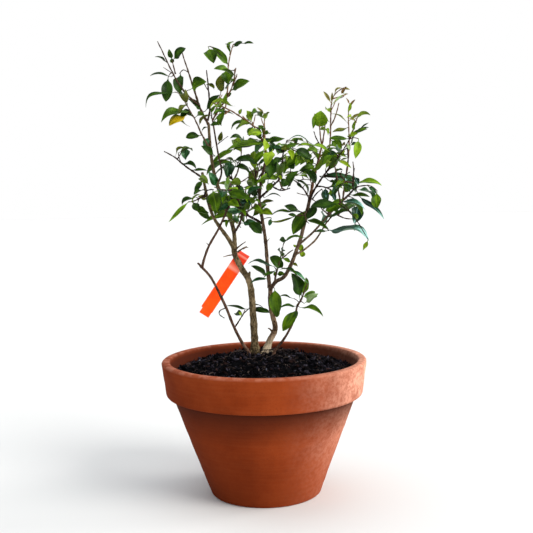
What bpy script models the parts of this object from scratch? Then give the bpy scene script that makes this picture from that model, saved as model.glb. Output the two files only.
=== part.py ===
"""A young pomegranate of four stems, grown as a bonsai in a low terracotta pot."""

import math
import random

import bmesh
import bpy
from mathutils import Vector, noise
from mathutils.bvhtree import BVHTree

MM = 0.001
GAP = 0.3 * MM                 # left open wherever two solids meet

# The pot: a thrown 25 cm low pot with a deep rim
POT_HEIGHT = 165 * MM
RIM_RADIUS = 125 * MM          # outside, at the lip
RIM_DEPTH = 42 * MM
RIM_FOOT_RADIUS = 120.5 * MM   # outside, where the rim band ends
BODY_TOP_RADIUS = 112 * MM     # outside, just under the rim band
BASE_RADIUS = 68.5 * MM
WALL = 9 * MM
LIP = 10.5 * MM                # width of the lip seen from above
FLOOR = 12 * MM
CORNER = 3.2 * MM              # rounding of the lip and of the rim's lower edge
DRAIN_RADIUS = 5.5 * MM
DRAIN_RING = 30 * MM           # the three holes lie on this circle
TURNS = 32                     # facets round the pot and the soil

# The compost, heaped up to the clump and sunk at the wall
GROUND = POT_HEIGHT - 1 * MM   # where the stems come out
SOIL_EDGE = 11 * MM            # how far the compost lies below the lip at the wall
CLUMP_AWAY = 31 * MM           # the clump stands this far behind the pot's axis
CLUMP_FLAT = 0.28              # share of the pot's radius that is level round the stems
SOIL_BUMP = 2.2 * MM

# Limbs and shoots are measured in millimetres as the clump's own plane shows them, from its foot:
# across to the right, up, and away from the viewer. A point that lies nearer or farther is carried
# along the line of sight, and the whole clump leans a little to the right.
EYE_DISTANCE = 1.081
EYE_HEIGHT = 0.193
CLUMP_ACROSS = 1.0             # where the foot itself stands, across and above the compost
CLUMP_UP = 2.0
LEAN = math.tan(math.radians(1.0))
DEPTH = 1.4                    # every distance away is widened by this

LIMB_SIDES = 7
LIMB_STEPS = 2                 # rings for each stretch between two bends
TWIG_SIDES = 3
TWIG_STEPS = 2
FLARE = 0.55                   # how much wider a stem is at the ground
FLARE_HEIGHT = 9 * MM
THINNEST = 1.5 * MM            # thickness of the finest twig

# The rule for side twigs: ranges that a seeded draw picks from
TWIG_FOOT = 1.8 * MM           # thickness where it leaves its shoot
TWIG_BARE = 0.3                # share of a side twig that carries no leaves
TWIG_PLACE = (0.35, 0.9)       # where on its shoot it starts
TWIG_LEAN = (45, 65)           # degrees away from its shoot
TWIG_LENGTH = (20 * MM, 34 * MM)
TWIG_RISE = (0.05, 0.3)        # how far its end bends up, against its length
GOLDEN_TURN = math.radians(137.5)
TWIG_STRAY = 0.3               # in radians, either way from that turn

# The rule for pairs of leaves
NODE_SPACING = 14 * MM         # between two pairs
PAIR_TURN = (75, 105)          # degrees from one pair to the next
PAIR_STRAY = 0.4               # in radians, either way from straight across
LEAF_LEAN = (40, 75)           # degrees away from the shoot
LEAF_DROOP = (0.05, 0.5)
LEAF_SIZE = (0.75, 1.2)        # share of the shoot's leaf length
LEAF_WIDTH = (0.31, 0.42)      # share of the leaf's own length
LEAF_ARCH = (0.05, 0.16)
LEAF_ROLL = 0.6                # in radians, either way
LEAF_UP = Vector((0, -0.3, 0.65))
LEAF_OUT = 0.45                # how far a leaf's upper side turns out of the crown

# The leaf itself
LEAF_THICKNESS = 0.8 * MM
STALK_WIDTH = 1.5 * MM
STALK_FOLD = 0.4               # depth of the stalk's own section
LONG_LEAF = ((0.3, 0.88, 0.06), (0.68, 0.92, 0.06))   # place, share of the width, depth of the fold
SHORT_LEAF = ((0.48, 1.0, 0.06),)
SHORT_LENGTH = 19 * MM
STALK_FACES = 4                # a leaf's first faces, up to its first full section
EDGE_ON_ARCH = 0.14            # an outline leaf that arches more than this is seen from its edge
EDGE_ON = Vector((0, -0.25, 1))
FACE_ON = Vector((0, -1, 0.5))
LEAF_CLEAR = 0.8 * MM          # a leaf keeps this far from what isn't its own
OUTLINE_ROOM = 4 * MM          # an outline leaf may reach this far out of its mass's space

# The plant's label, a bare strip of orange plastic hooked behind the left stem
LABEL_WIDTH = 16 * MM
LABEL_THICKNESS = 0.6 * MM
LABEL_FOOT = (-77, 52)         # across and up, like the limbs' bends
LABEL_TOP = (-27, 123)
LABEL_RUN = 86                 # from the strip's foot to its fold
LABEL_BACK = 7.9               # how far behind the clump's plane it passes the stem
LABEL_FOLD = 3                 # radius of the fold
LABEL_TAIL = 12

# Limb: what it grows from, its thickness at foot, middle and tip, and its bends
LIMBS = {
    "stem_left": ("", (8.8, 8.2, 6.6), (
        (-12, 0, 0), (-15, 51, 2), (-19, 88, 3), (-29, 106, 4), (-37, 122, 5), (-39, 133, 6))),
    "stem_right": ("", (8.0, 6.2, 5.4), (
        (1, 0, 2), (6, 14, 3), (13, 30, 4), (10, 46, 4), (7, 62, 3), (7, 85, 2))),
    "stem_whip_lower": ("", (3.7, 3.4, 3.0), (
        (-20, 0, -9), (-29, 13, -14), (-40, 35, -18), (-50, 60, -21), (-67, 94, -24), (-81, 110, -26))),
    "stem_low_right": ("", (3.2, 2.8, 2.4), (
        (11, 0, -6), (24, 17, -8), (31, 29, -10), (37, 43, -12), (41, 61, -14))),
    "bough_left_main": ("stem_left", (5.6, 4.6, 3.4), (
        (-38, 130, 6), (-39, 154, 8), (-47, 177, 11), (-61, 216, 14), (-67, 248, 16), (-70, 286, 18))),
    "bough_left_outer": ("stem_left", (5.6, 3.8, 3.2), (
        (-38, 130, 5), (-46, 144, 0), (-61, 165, -7), (-68, 180, -10), (-73, 200, -12), (-78, 226, -14))),
    "bough_left_thin": ("bough_left_main", (2.4, 2.2, 2.0), (
        (-60, 210, 13), (-54, 226, 20), (-58, 248, 26), (-61, 266, 28), (-65, 291, 29))),
    "stem_whip_upper": ("stem_whip_lower", (3.2, 2.6, 2.0), (
        (-79, 107, -26), (-76, 119, -28), (-70, 135, -30), (-57, 158, -32), (-46, 182, -34), (-34, 203, -35))),
    "bough_centre": ("stem_right", (4.8, 4.2, 3.4), (
        (6, 82, 2), (3, 112, 5), (1, 139, 9), (-3, 166, 12), (-7, 191, 14), (-4, 219, 15), (1, 241, 16))),
    "bough_right": ("stem_right", (4.8, 4.6, 4.4), (
        (7, 81, 1), (14, 90, -3), (24, 96, -6), (33, 112, -9), (41, 134, -12), (47, 153, -13), (56, 194, -12))),
    "bough_right_arm": ("bough_right", (2.8, 2.4, 2.0), (
        (43, 137, -12), (60, 152, -22), (76, 170, -28), (91, 186, -32), (104, 199, -34))),
    "bough_right_under": ("bough_right", (2.6, 2.4, 2.0), (
        (38, 124, -11), (49, 130, 0), (59, 138, 6), (66, 146, 9), (78, 166, 12))),
}

# Mass of leaves: the limb it grows from, then its seed, its number of side twigs and how full it is,
# then two corners of the space it keeps to, its shoots, and the leaves that make its outline.
# The first shoot is the mass's stem. Each shoot is its thickness at foot and tip, the share of it that
# stays bare, the length of its leaves, and its bends. An outline leaf is the number of its shoot, where
# on that it grows, its tip, its width and how far it arches.
MASSES = {
    "leaves_top_left": ("bough_left_main", (11, 0, 0.25), ((-150, 290, -50), (-66, 380, 20)), (
        (3.0, 1.6, 0.30, 27, ((-70, 285, 18), (-80, 304, 17), (-87, 326, 12), (-96, 354, 8), (-102, 372, 5))),
        (2.3, 1.5, 0.35, 20, ((-81, 308, 16), (-95, 320, 2), (-109, 339, -12), (-121, 363, -20),
                              (-132, 386, -26))),
        (2.4, 1.6, 1.00, 27, ((-71, 290, 18), (-68, 304, 22), (-70, 329, 27), (-72, 351, 30))),
    ), (
        (1, 0.22, (-147, 306, -12), 8, 0.22), (1, 0.50, (-121, 315, -20), 10, 0.10),
        (1, 0.52, (-144, 346, -22), 7, 0.05), (0, 0.76, (-105, 324, 2), 12, 0.08),
        (0, 0.46, (-71, 339, 14), 13, 0.12), (0, 0.98, (-119, 382, 0), 10, 0.15),
        (0, 0.98, (-97, 385, 8), 9, -0.10), (1, 0.98, (-137, 390, -30), 5, 0.10))),
    "leaves_left_shoulder": ("bough_left_main", (12, 0, 0.35), ((-134, 258, -45), (-60, 330, 30)), (
        (2.2, 1.5, 0.40, 25, ((-69, 256, 16), (-79, 274, 2), (-86, 290, -8), (-94, 304, -14),
                              (-104, 321, -18))),
    ), (
        (0, 0.72, (-130, 291, -20), 8, 0.08), (0, 0.55, (-119, 284, -24), 11, 0.10),
        (0, 0.25, (-97, 270, 4), 9, 0.12), (0, 0.45, (-66, 296, -12), 7, 0.15))),
    "leaves_top_middle": ("bough_left_thin", (13, 1, 0.22), ((-84, 296, -20), (-8, 396, 60)), (
        (2.2, 1.5, 0.35, 25, ((-65, 290, 29), (-59, 300, 26), (-47, 318, 20), (-40, 333, 18),
                              (-36, 354, 16))),
        (1.8, 1.5, 0.55, 20, ((-48, 316, 21), (-46, 330, 26), (-45, 359, 29), (-41, 376, 31),
                              (-39, 382, 32))),
        (1.7, 1.5, 0.70, 18, ((-62, 295, 28), (-59, 311, 34), (-55, 321, 38))),
    ), (
        (1, 0.62, (-80, 379, 24), 13, -0.06), (1, 0.62, (-64, 381, 34), 9, 0.10),
        (1, 0.66, (-54, 338, 18), 15, 0.06), (0, 0.42, (-53, 342, 12), 10, 0.05),
        (0, 0.60, (-19, 338, 12), 12, 0.10), (1, 0.98, (-13, 388, 30), 7, 0.18),
        (1, 0.92, (-51, 387, 30), 6, 0.10), (2, 0.96, (-76, 302, 46), 8, 0.35))),
    "leaves_left_spur": ("bough_left_outer", (14, 1, 0.4), ((-130, 218, -62), (-64, 262, -4)), (
        (2.2, 1.5, 0.45, 22, ((-77, 219, -14), (-87, 226, -20), (-99, 234, -26), (-112, 245, -30),
                              (-125, 252, -33))),
    ), (
        (0, 0.50, (-71, 229, -38), 9, 0.06), (0, 0.72, (-96, 250, -30), 8, 0.40))),
    "leaves_left_low": ("bough_left_outer", (35, 2, 0.55), ((-126, 160, -60), (-54, 226, 6)), (
        (2.2, 1.5, 0.20, 26, ((-72, 199, -12), (-80, 195, -20), (-88, 191, -26), (-95, 190, -30))),
        (1.8, 1.5, 0.40, 26, ((-76, 197, -16), (-72, 204, -28), (-64, 205, -36))),
    ), (
        (0, 0.96, (-122, 163, -36), 8, 0.08), (0, 0.80, (-84, 179, -38), 7, 0.10),
        (0, 0.50, (-70, 174, -40), 6, -0.12), (1, 0.95, (-60, 178, -46), 15, 0.10),
        (0, 0.70, (-88, 204, -22), 6, 0.10))),
    "leaves_heart": ("bough_left_main", (16, 9, 0.9), ((-72, 150, -62), (-2, 232, 4)), (
        (2.8, 1.6, 0.40, 30, ((-38, 152, 7), (-34, 158, -4), (-29, 170, -14), (-26, 184, -20),
                              (-24, 205, -23))),
        (2.0, 1.5, 0.20, 30, ((-27, 179, -18), (-34, 192, -24), (-42, 202, -28), (-50, 212, -30))),
    ), (
        (0, 0.30, (-6, 151, -26), 15, 0.08), (1, 0.60, (-20, 186, -14), 9, 0.10),
        (1, 0.90, (-70, 224, -36), 9, 0.10), (0, 0.95, (-12, 224, -30), 9, 0.15))),
    "leaves_heart_low": ("bough_centre", (17, 3, 0.6), ((-84, 150, -20), (12, 196, 50)), (
        (2.0, 1.5, 0.25, 27, ((-3, 163, 11), (-15, 170, 16), (-31, 177, 20), (-44, 182, 22))),
    ), (
        (0, 0.75, (-80, 160, 14), 6, 0.10), (0, 0.95, (-58, 170, 34), 10, 0.12),
        (0, 0.35, (2, 186, 30), 9, 0.12))),
    "leaves_inner": ("bough_left_main", (31, 7, 0.75), ((-64, 188, 4), (12, 268, 76)), (
        (2.6, 1.6, 0.25, 31, ((-54, 196, 12), (-45, 208, 24), (-36, 222, 34), (-31, 238, 42),
                              (-29, 256, 46))),
        (1.9, 1.5, 0.25, 31, ((-41, 214, 28), (-30, 214, 40), (-18, 222, 48))),
    ), (
        (0, 0.70, (-62, 222, 40), 9, 0.14), (0, 0.85, (-4, 262, 38), 11, 0.12))),
    "leaves_centre_top": ("bough_centre", (18, 5, 0.65), ((-76, 224, -38), (40, 316, 58)), (
        (2.9, 1.6, 0.25, 31, ((1, 240, 16), (-1, 261, 14), (-11, 277, 10), (-16, 288, 8))),
        (1.8, 1.5, 0.30, 16, ((-14, 283, 9), (-31, 295, 0), (-44, 303, -8), (-65, 312, -18))),
        (1.8, 1.5, 0.30, 14, ((-1, 263, 14), (0, 274, 20), (-1, 285, 24), (0, 296, 26))),
    ), (
        (0, 0.45, (-50, 252, -8), 9, 0.12), (0, 0.30, (-44, 222, -6), 10, 0.22),
        (1, 0.10, (-24, 306, 4), 8, 0.10), (0, 0.40, (26, 269, 2), 9, 0.12),
        (2, 0.98, (-10, 308, 30), 6, 0.10), (2, 0.98, (7, 303, 32), 6, 0.10),
        (1, 0.96, (-74, 306, -22), 6, 0.20), (0, 0.12, (-70, 236, 24), 8, 0.15))),
    "leaves_centre": ("bough_centre", (19, 7, 0.6), ((-22, 172, -60), (52, 290, 8)), (
        (2.6, 1.6, 0.25, 31, ((-6, 195, 14), (4, 204, 2), (14, 214, -8), (20, 222, -14),
                              (22, 247, -20), (27, 266, -24))),
        (1.9, 1.5, 0.20, 31, ((9, 209, -3), (20, 204, -16), (31, 207, -24))),
    ), (
        (0, 0.78, (44, 253, -24), 11, 0.20), (0, 0.74, (1, 236, -26), 9, 0.12),
        (1, 0.50, (34, 176, -34), 12, 0.08), (1, 0.10, (33, 178, -8), 7, 0.12),
        (1, 0.92, (47, 190, -30), 9, 0.12), (0, 0.55, (-12, 212, -28), 10, 0.12))),
    "leaves_centre_back": ("bough_centre", (20, 7, 0.85), ((-46, 196, 20), (36, 262, 84)), (
        (2.4, 1.6, 0.30, 31, ((-6, 196, 14), (-10, 208, 26), (-12, 226, 38), (-11, 240, 46))),
        (1.8, 1.5, 0.20, 31, ((-10, 214, 30), (4, 226, 40), (16, 236, 50))),
    ), (
        (0, 0.60, (-36, 216, 62), 10, 0.12), (1, 0.95, (34, 246, 60), 9, 0.12))),
    "leaves_right_top": ("bough_right", (21, 4, 0.55), ((24, 214, -34), (112, 338, 62)), (
        (3.4, 1.6, 0.30, 29, ((56, 193, -12), (60, 215, -6), (66, 241, 2), (72, 266, 8), (74, 284, 10))),
        (2.0, 1.5, 0.25, 15, ((67, 245, 3), (79, 256, 14), (81, 274, 20), (82, 311, 26),
                              (88, 324, 28), (100, 331, 26))),
    ), (
        (0, 0.72, (27, 266, -6), 7, 0.25), (0, 0.66, (41, 257, 12), 8, 0.08),
        (0, 0.97, (66, 303, 4), 15, 0.12), (0, 0.50, (46, 237, -10), 10, 0.12),
        (1, 0.42, (103, 285, 14), 9, 0.12), (1, 0.80, (74, 328, 18), 6, 0.25),
        (1, 0.90, (95, 336, 34), 6, 0.20), (1, 0.98, (109, 330, 24), 5, 0.10))),
    "leaves_right_front": ("bough_right", (22, 6, 0.75), ((46, 190, -72), (120, 286, -12)), (
        (2.6, 1.5, 0.20, 31, ((55, 190, -12), (62, 206, -22), (79, 231, -36), (94, 250, -42),
                              (105, 268, -44))),
        (1.8, 1.5, 0.15, 31, ((64, 209, -24), (72, 209, -34), (80, 206, -42))),
    ), (
        (0, 0.22, (117, 212, -40), 9, 0.10), (1, 0.60, (86, 190, -52), 14, 0.08),
        (0, 0.62, (64, 250, -50), 8, 0.10), (0, 0.80, (106, 234, -50), 9, 0.10),
        (0, 0.97, (114, 278, -50), 8, 0.12))),
    "leaves_right_shoots": ("bough_right_arm", (23, 2, 0.4), ((78, 214, -40), (134, 322, 50)), (
        (2.0, 1.5, 0.30, 20, ((97, 193, -33), (99, 210, -26), (102, 229, -16), (104, 254, -8), (104, 272, -2),
                          (103, 302, 6), (106, 311, 8))),
    ), (
        (0, 0.98, (102, 321, 12), 6, 0.10), (0, 0.97, (116, 318, 4), 6, 0.12),
        (0, 0.86, (125, 301, 0), 8, 0.15), (0, 0.78, (131, 286, 14), 8, 0.15),
        (0, 0.70, (124, 274, -8), 8, 0.15), (0, 0.60, (112, 242, -14), 10, 0.25),
        (0, 0.80, (88, 300, -8), 8, 0.12))),
    "leaves_right_arm": ("bough_right_arm", (24, 2, 0.6), ((48, 150, -84), (152, 238, -34)), (
        (2.0, 1.5, 0.10, 32, ((104, 198, -34), (109, 204, -40), (116, 209, -44), (127, 211, -48))),
        (1.7, 1.5, 0.40, 18, ((110, 205, -41), (109, 216, -48), (111, 232, -52))),
        (1.7, 1.5, 0.30, 32, ((106, 201, -37), (100, 194, -46), (92, 188, -52))),
    ), (
        (0, 0.12, (150, 168, -52), 9, 0.16), (0, 0.70, (145, 213, -52), 7, 0.10),
        (0, 0.96, (133, 195, -54), 10, 0.10), (0, 0.80, (141, 181, -60), 10, 0.12),
        (2, 0.60, (117, 162, -64), 12, 0.25), (2, 0.95, (54, 178, -62), 12, 0.06),
        (0, 0.40, (98, 214, -56), 7, 0.10))),
    "leaves_right_under": ("bough_right_under", (25, 3, 0.6), ((52, 122, -10), (130, 190, 62)), (
        (2.0, 1.5, 0.10, 32, ((78, 165, 12), (84, 172, 16), (92, 178, 22))),
        (1.8, 1.5, 0.20, 32, ((83, 171, 16), (74, 178, 26), (70, 182, 34))),
    ), (
        (0, 0.15, (124, 128, 2), 11, 0.22), (0, 0.60, (115, 166, 10), 9, 0.20),
        (1, 0.90, (62, 158, 44), 10, 0.12), (0, 0.95, (112, 184, 40), 9, 0.12))),
    "leaves_right_low": ("bough_right", (26, 0, 0.25), ((16, 130, -66), (84, 190, -14)), (
        (2.0, 1.5, 0.20, 27, ((52, 178, -12), (50, 174, -24), (52, 166, -34))),
    ), (
        (0, 0.35, (33, 146, -32), 15, 0.08), (0, 0.95, (24, 142, -44), 10, 0.10),
        (0, 0.90, (80, 156, -54), 7, 0.08))),
    "leaves_fork": ("stem_right", (27, 1, 0.55), ((-24, 40, -44), (42, 142, 22)), (
        (2.8, 1.5, 0.35, 25, ((7, 80, 1), (12, 90, -10), (15, 104, -14), (20, 122, -16), (23, 137, -18))),
        (1.7, 1.5, 0.40, 25, ((19, 117, -15), (27, 124, -20), (35, 130, -24))),
    ), (
        (0, 0.15, (12, 45, -20), 13, -0.06), (0, 0.22, (-20, 87, -22), 8, 0.10),
        (0, 0.30, (-19, 110, -20), 9, 0.10), (0, 0.50, (8, 122, -26), 9, 0.10))),
    "leaves_low_right": ("stem_low_right", (28, 0, 0.3), ((14, 22, -46), (78, 106, 16)), (
        (2.4, 1.5, 0.05, 23, ((41, 60, -14), (46, 68, -15), (50, 79, -16), (54, 88, -16))),
    ), (
        (0, 0.25, (32, 91, -24), 11, 0.10), (0, 0.25, (66, 73, -10), 10, 0.12),
        (0, 0.10, (75, 44, -20), 7, 0.14), (0, 0.08, (17, 59, -24), 6, 0.08),
        (0, 0.15, (22, 27, -24), 11, 0.06), (0, 0.85, (31, 102, -14), 8, 0.10))),
    "leaves_low_left": ("stem_whip_lower", (29, 0, 0.3), ((-56, 30, -12), (10, 66, 34)), (
        (1.9, 1.5, 0.60, 20, ((-38, 32, -17), (-32, 41, 0), (-26, 50, 10), (-18, 57, 14))),
    ), (
        (0, 0.80, (-50, 60, 2), 8, 0.10), (0, 0.98, (6, 50, 18), 7, 0.08))),
}


def spot(across, up, away):
    """The place of a measured point."""
    depth = away * DEPTH * MM
    scale = 1 + depth / EYE_DISTANCE
    side = (CLUMP_ACROSS + across + up * LEAN) * MM * scale
    rise = (CLUMP_UP + up - across * LEAN) * MM - EYE_HEIGHT
    return Vector((side, CLUMP_AWAY + depth, GROUND + GAP + EYE_HEIGHT + rise * scale))


def paint(name, colour, roughness):
    """A plain material."""
    material = bpy.data.materials.new(name)
    material.use_nodes = True
    shader = material.node_tree.nodes["Principled BSDF"]
    shader.inputs["Base Color"].default_value = (*colour, 1)
    shader.inputs["Roughness"].default_value = roughness
    shader.inputs["Metallic"].default_value = 0
    return material


def add_object(name, shape, material=None):
    """An object from a bmesh."""
    bmesh.ops.recalc_face_normals(shape, faces=shape.faces)
    mesh = bpy.data.meshes.new(name)
    shape.to_mesh(mesh)
    shape.free()
    piece = bpy.data.objects.new(name, mesh)
    bpy.context.scene.collection.objects.link(piece)
    if material:
        mesh.materials.append(material)
    return piece


def smooth(knots, steps):
    """Points on a smooth curve through the knots."""
    points = []
    for i in range(len(knots) - 1):
        before = knots[max(i - 1, 0)]
        start, end = knots[i], knots[i + 1]
        after = knots[min(i + 2, len(knots) - 1)]
        for step in range(steps):
            t = step / steps
            points.append(0.5 * (2 * start + (end - before) * t
                                 + (2 * before - 5 * start + 4 * end - after) * t * t
                                 + (3 * start - before - 3 * end + after) * t ** 3))
    points.append(knots[-1].copy())
    return points


def fractions(points):
    """How far along the line each point lies, from 0 to 1."""
    lengths = [0.0]
    for a, b in zip(points, points[1:]):
        lengths.append(lengths[-1] + (b - a).length)
    return [length / lengths[-1] for length in lengths]


def blend(values, t):
    """Reads a row of values, spread evenly from 0 to 1, at t."""
    place = min(max(t, 0), 1) * (len(values) - 1)
    i = min(int(place), len(values) - 2)
    return values[i] + (values[i + 1] - values[i]) * (place - i)


def along(points, t):
    """The point at t of a line's length, and the line's direction there."""
    marks = fractions(points)
    i = 0
    while i < len(marks) - 2 and marks[i + 1] < t:
        i += 1
    share = (t - marks[i]) / (marks[i + 1] - marks[i])
    return points[i].lerp(points[i + 1], share), (points[i + 1] - points[i]).normalized()


def tube(points, radii, sides, level_foot=False, grow=0.0):
    """A tapered tube with closed ends. grow makes it that much larger all over."""
    points = [point.copy() for point in points]
    if grow:
        points[0] -= (points[1] - points[0]).normalized() * grow
        points[-1] += (points[-1] - points[-2]).normalized() * grow
    shape = bmesh.new()
    rings = []
    across = Vector((1, 0, 0))
    for i, point in enumerate(points):
        direction = (points[min(i + 1, len(points) - 1)] - points[max(i - 1, 0)]).normalized()
        if i == 0 and level_foot:
            direction = Vector((0, 0, 1))
        across = (across - direction * across.dot(direction)).normalized()
        other = direction.cross(across)
        ring = []
        for side in range(sides):
            turn = math.tau * side / sides
            offset = across * math.cos(turn) + other * math.sin(turn)
            ring.append(shape.verts.new(point + offset * (radii[i] + grow)))
        rings.append(ring)
    for low, high in zip(rings, rings[1:]):
        for side in range(sides):
            after = (side + 1) % sides
            shape.faces.new((low[side], low[after], high[after], high[side]))
    shape.faces.new(rings[0][::-1])
    shape.faces.new(rings[-1])
    return shape


def turned(outline, sides, reshape=None):
    """A solid turned round the upright axis from (radius, height) points, bottom to top."""
    shape = bmesh.new()
    rings = []
    for radius, level in outline:
        if radius == 0:
            rings.append([shape.verts.new((0, 0, level))] * sides)
            continue
        ring = []
        for side in range(sides):
            turn = math.tau * (side + 0.5) / sides
            ring.append(shape.verts.new((radius * math.cos(turn), radius * math.sin(turn), level)))
        rings.append(ring)
    for low, high in zip(rings, rings[1:]):
        for side in range(sides):
            after = (side + 1) % sides
            corners = (low[side], low[after], high[after], high[side])
            shape.faces.new(list(dict.fromkeys(corners)))
    if reshape:
        reshape(shape)
    return shape


def corner(centre_radius, centre_height, start, end, radius=CORNER, steps=2):
    """Points of a rounded corner of the pot's outline, from one angle to another."""
    return [(centre_radius + radius * math.cos(math.radians(start + (end - start) * i / steps)),
             centre_height + radius * math.sin(math.radians(start + (end - start) * i / steps)))
            for i in range(steps + 1)]


def boolean(piece, operation, other=None, group=None):
    """Applies one Boolean to a piece."""
    cut = piece.modifiers.new(operation.lower(), "BOOLEAN")
    cut.operation = operation
    if group:
        cut.operand_type = "COLLECTION"
        cut.collection = group
    else:
        cut.object = other
    bpy.context.view_layer.update()
    mesh = bpy.data.meshes.new_from_object(piece.evaluated_get(bpy.context.evaluated_depsgraph_get()))
    piece.modifiers.clear()
    old = piece.data
    piece.data = mesh
    bpy.data.meshes.remove(old)
    keep_largest(piece)


def keep_largest(piece):
    """Drops loose scraps and the walls of sealed hollows."""
    shape = bmesh.new()
    shape.from_mesh(piece.data)
    bmesh.ops.triangulate(shape, faces=shape.faces)
    left = set(shape.verts)
    islands = []
    while left:
        island, edge = set(), [left.pop()]
        while edge:
            vert = edge.pop()
            island.add(vert)
            for link in vert.link_edges:
                other = link.other_vert(vert)
                if other in left:
                    left.discard(other)
                    edge.append(other)
        islands.append(island)
    islands.sort(key=len)
    for island in islands[:-1]:
        bmesh.ops.delete(shape, geom=list(island), context="VERTS")
    shape.to_mesh(piece.data)
    shape.free()


def remove(piece):
    """Deletes a helper object."""
    bpy.data.objects.remove(piece, do_unlink=True)


def make_pot(clay):
    """The pot: body, rim band, rounded lip, and three drain holes in its flat underside."""
    rim_foot = POT_HEIGHT - RIM_DEPTH
    outline = [(0, 0)]
    outline += corner(BASE_RADIUS - CORNER, CORNER, -90, 0, steps=1)
    outline += [(BODY_TOP_RADIUS, rim_foot)]
    outline += corner(RIM_FOOT_RADIUS - CORNER, rim_foot + CORNER, -90, 0)
    outline += corner(RIM_RADIUS - CORNER, POT_HEIGHT - CORNER, 0, 90)
    outline += corner(RIM_RADIUS - LIP + CORNER, POT_HEIGHT - CORNER, 90, 180)
    outline += [(inner_radius(rim_foot), rim_foot), (inner_radius(FLOOR), FLOOR), (0, FLOOR)]
    pot = add_object("pot", turned(outline, TURNS), clay)
    for i in range(3):
        turn = math.tau * i / 3
        place = Vector((DRAIN_RING * math.cos(turn), DRAIN_RING * math.sin(turn), 0))
        ends = [place - Vector((0, 0, FLOOR)), place + Vector((0, 0, 2 * FLOOR))]
        hole = add_object("drain", tube(ends, [DRAIN_RADIUS] * 2, 12))
        boolean(pot, "DIFFERENCE", hole)
        remove(hole)


def inner_radius(level):
    """The pot's inside radius at a level: a cone below the rim band, nearly upright in it."""
    rim_foot = POT_HEIGHT - RIM_DEPTH
    if level < rim_foot:
        slope = (BODY_TOP_RADIUS - BASE_RADIUS) / rim_foot
        return BASE_RADIUS - WALL + slope * level
    lip_foot = POT_HEIGHT - CORNER
    start, end = BODY_TOP_RADIUS - WALL, RIM_RADIUS - LIP
    return start + (end - start) * (level - rim_foot) / (lip_foot - rim_foot)


def soil_level(x, y, share):
    """Height of the compost's rough surface at a point of a ring, level round the stems."""
    slope = max(share - CLUMP_FLAT, 0) / (1 - CLUMP_FLAT)
    bumps = noise.noise(Vector((x, y, 0)) * 60) + 0.5 * noise.noise(Vector((x, y, 0.1)) * 140)
    return GROUND - (SOIL_EDGE - (POT_HEIGHT - GROUND)) * slope + SOIL_BUMP * bumps * min(slope * 5, 1)


def make_soil(compost):
    """The compost that fills the pot, clear of its wall and floor, heaped up round the clump."""
    top = POT_HEIGHT - SOIL_EDGE
    rim_foot = POT_HEIGHT - RIM_DEPTH
    levels = [FLOOR + GAP, rim_foot, top]
    room = GAP * 1.5
    edge = inner_radius(top) - room
    outline = [(0, levels[0])] + [(inner_radius(level) - room, level) for level in levels]
    outline += [(edge * ring, top) for ring in (0.9, 0.76, 0.6, 0.43, CLUMP_FLAT)] + [(0, top)]

    def heap(shape):
        for vert in shape.verts:
            if vert.co.z > rim_foot + GAP:
                share = math.hypot(vert.co.x, vert.co.y) / edge
                vert.co.y += CLUMP_AWAY * (1 - share)
                if share < 0.99:
                    vert.co.z = soil_level(vert.co.x, vert.co.y, share)

    add_object("soil", turned(outline, TURNS, heap), compost)


def limb_shape(name, grow=0.0):
    """A limb's own tube, or a slightly larger one to cut its neighbours clear of it."""
    parent, thickness, knots = LIMBS[name]
    points = smooth([spot(*knot) for knot in knots], LIMB_STEPS)
    base = GROUND + GAP
    if not parent:
        points[0].z = base
    radii = []
    for point, mark in zip(points, fractions(points)):
        radius = blend(thickness, mark) * MM / 2
        if not parent:
            radius *= 1 + FLARE * math.exp(-(point.z - base) / FLARE_HEIGHT)
        radii.append(radius)
    return tube(points, radii, LIMB_SIDES, level_foot=not parent, grow=grow)


def cut_clear(piece, names):
    """Cuts a piece clear of the limbs that it grows from or crosses."""
    for name in names:
        shape = bmesh.new()
        shape.from_mesh(piece.data)
        cutter_shape = limb_shape(name, GAP)
        meets = BVHTree.FromBMesh(shape).overlap(BVHTree.FromBMesh(cutter_shape))
        shape.free()
        if not meets:
            cutter_shape.free()
            continue
        cutter = add_object("cutter", cutter_shape)
        boolean(piece, "DIFFERENCE", cutter)
        remove(cutter)


def make_limbs(bark):
    """Stems and boughs, each cut clear of those before it."""
    done = []
    for name in LIMBS:
        piece = add_object(name, limb_shape(name), bark)
        cut_clear(piece, done)
        done.append(name)


def blade(root, tip, width, arch, facing):
    """A leaf: a short stalk sunk in its twig, then a thin keeled blade that arches to its tip."""
    length = (tip - root).length
    direction = (tip - root).normalized()
    side = direction.cross(facing).normalized()
    normal = side.cross(direction)
    shape = bmesh.new()
    rings = []
    sections = LONG_LEAF if length > SHORT_LENGTH else SHORT_LEAF
    for t, share, fold in ((0, STALK_WIDTH / width, STALK_FOLD), *sections):
        middle = root.lerp(tip, t) + normal * (arch * length * 4 * t * (1 - t))
        half = side * (width * share / 2)
        edge = normal * (width * share * fold)
        keel = normal * (LEAF_THICKNESS / 2)
        section = (middle - half + edge, middle + half + edge, middle - keel)
        rings.append([shape.verts.new(point) for point in section])
    end = shape.verts.new(tip)
    shape.faces.new(rings[0])
    for low, high in zip(rings, rings[1:]):
        for i in range(3):
            shape.faces.new((low[i], high[i], high[(i + 1) % 3], low[(i + 1) % 3]))
    for i in range(3):
        shape.faces.new((rings[-1][i], end, rings[-1][(i + 1) % 3]))
    return shape


def facing_of(root, direction, turn):
    """Which way a leaf shows its upper side: up and out of the crown, rolled by turn."""
    out = Vector((root.x, root.y - CLUMP_AWAY, 0)).normalized()
    side = direction.cross(LEAF_UP + out * LEAF_OUT).normalized()
    return side.cross(direction) * math.cos(turn) + side * math.sin(turn)


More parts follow.
